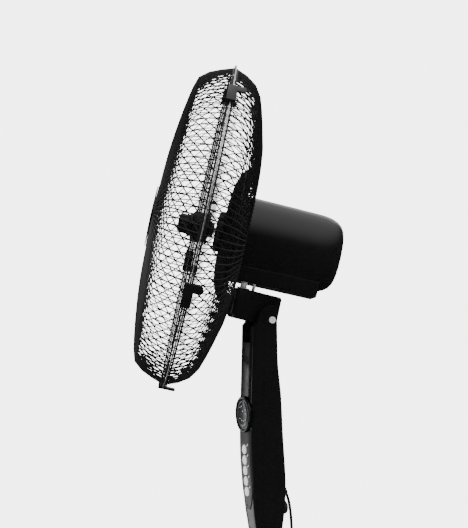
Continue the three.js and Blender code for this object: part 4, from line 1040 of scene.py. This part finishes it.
# %% Guard nut
guard_nut_profile = [(12.3, 23.2), (23, 23.2), (25.4, 24), (27, 25.8), (27.5, 27.4), (27.5, 32.4), (26.9, 33.2),
                     (12.3, 33.2)]
guard_nut = fluted(turned(guard_nut_profile, 144, closed=True), lobes=12, depth=0.1, inner=22, power=2)
finished("guard_nut_grip", placed(guard_nut, BACK_Y), HEAD, satin_abs, "head", "guard_nut",
         slot="satin_black_plastic", sharp=45)

# %% [markdown]
# ## Inside pieces
# Pan, feet, board, motor core and the oscillation gear keep their solid shape. They show only
# in gaps or from below, so each gets its real material and nothing else.

# %% Materials for the carried-over pieces
for node, coat in {
        "base_pan": pan_steel, "control_board": board_laminate, "stator": stator_iron,
        "gearbox": satin_abs, "crank_disc": satin_abs, "crank_link": bright_steel,
        "rotor_shaft": bright_steel, "foot_centre": foot_rubber,
        **{f"foot_{i}": foot_rubber for i in range(1, 6)}}.items():
    kept = frame["nodes"][node]
    kept.data.materials.clear()
    kept.data.materials.append(coat)

# %% [markdown]
# ## Floor, light and background
# A plain pale floor and a white background. Gloss black shows only what it mirrors, so what
# it mirrors is dark below and bright overhead, and soft lamps stand where their reflections
# draw an edge: one high on the far side for the motor, three in front for the column.

# %% Floor
FLOOR_RADIUS = 2.0
floor_shape = bmesh.new()
bmesh.ops.create_circle(floor_shape, cap_ends=True, segments=96, radius=FLOOR_RADIUS)
floor_paint, floor_shader = new_material("pale_floor_paint")
floor_place = add(floor_paint, "ShaderNodeTexCoord").outputs["Object"]
floor_grain = add(floor_paint, "ShaderNodeTexNoise", {
    "Vector": floor_place, "Scale": per_metre(400)}).outputs["Fac"]
floor_tint = add(floor_paint, "ShaderNodeMix", {
    "Factor": floor_grain, 6: linear("#f1f1f0"), 7: linear("#f6f6f5")}, data_type="RGBA").outputs[2]
floor_paint.node_tree.links.new(floor_tint, floor_shader.inputs["Base Color"])
floor_shader.inputs["Roughness"].default_value = 0.9
floor = finished("floor", floor_shape, Matrix.Translation((0, 0, -0.0005)), floor_paint, None)
floor.visible_glossy = False

# %% Background
SKY_STRENGTH = 1.6  # what lights matt surfaces
BACKDROP_STRENGTH = 5.0  # what the lens sees behind the fan
world = bpy.data.worlds.new("studio")
world.use_nodes = True
bpy.context.scene.world = world
sky = world.node_tree.nodes["Background"]
sky.inputs["Color"].default_value = linear("#ffffff")
sky.inputs["Strength"].default_value = SKY_STRENGTH
heading = add(world, "ShaderNodeTexCoord").outputs["Generated"]
rise = add(world, "ShaderNodeSeparateXYZ", {"Vector": heading}).outputs["Z"]
glow = add(world, "ShaderNodeMapRange", {
    "Value": rise, "From Min": 0.15, "From Max": 1.0, "To Min": 0.012, "To Max": 1.1},
           interpolation_type="SMOOTHSTEP").outputs["Result"]
mirrored = add(world, "ShaderNodeBackground", {"Color": linear("#ffffff"), "Strength": glow})
backdrop = add(world, "ShaderNodeBackground", {"Color": linear("#ffffff"), "Strength": BACKDROP_STRENGTH})
rays = add(world, "ShaderNodeLightPath")
lit = add(world, "ShaderNodeMixShader", {
    0: rays.outputs["Is Glossy Ray"], 1: sky.outputs["Background"], 2: mirrored.outputs["Background"]})
seen = add(world, "ShaderNodeMixShader", {
    0: rays.outputs["Is Camera Ray"], 1: lit.outputs["Shader"], 2: backdrop.outputs["Background"]})
world.node_tree.links.new(seen.outputs["Shader"], world.node_tree.nodes["World Output"].inputs["Surface"])


# %% Lamps
def softbox(name, place, target, size, watts):
    """A large soft lamp that faces a target."""
    lamp = bpy.data.lights.new(name, "AREA")
    lamp.shape = "RECTANGLE"
    lamp.size, lamp.size_y = size
    lamp.energy = watts
    made = bpy.data.objects.new(name, lamp)
    bpy.context.scene.collection.objects.link(made)
    made.location = place
    made.rotation_euler = (Vector(target) - Vector(place)).to_track_quat("-Z", "Y").to_euler()
    made.visible_camera = False
    return made


# each lamp: name, place, target, size in metres, watts
softbox("high_far_side", (-1.9, 1.3, 1.75), (0, 0.05, 0.9), (1.6, 1.6), 6)
softbox("front_right", (-1.9, -1.0, 0.9), (0, 0, 0.7), (0.25, 1.6), 1.8)
softbox("front", (0.3, -2.2, 0.8), (0, 0, 0.7), (0.25, 1.6), 6)
softbox("low_front", (-1.2, -0.7, 0.15), (0, 0, 0.5), (0.8, 0.4), 1.6)
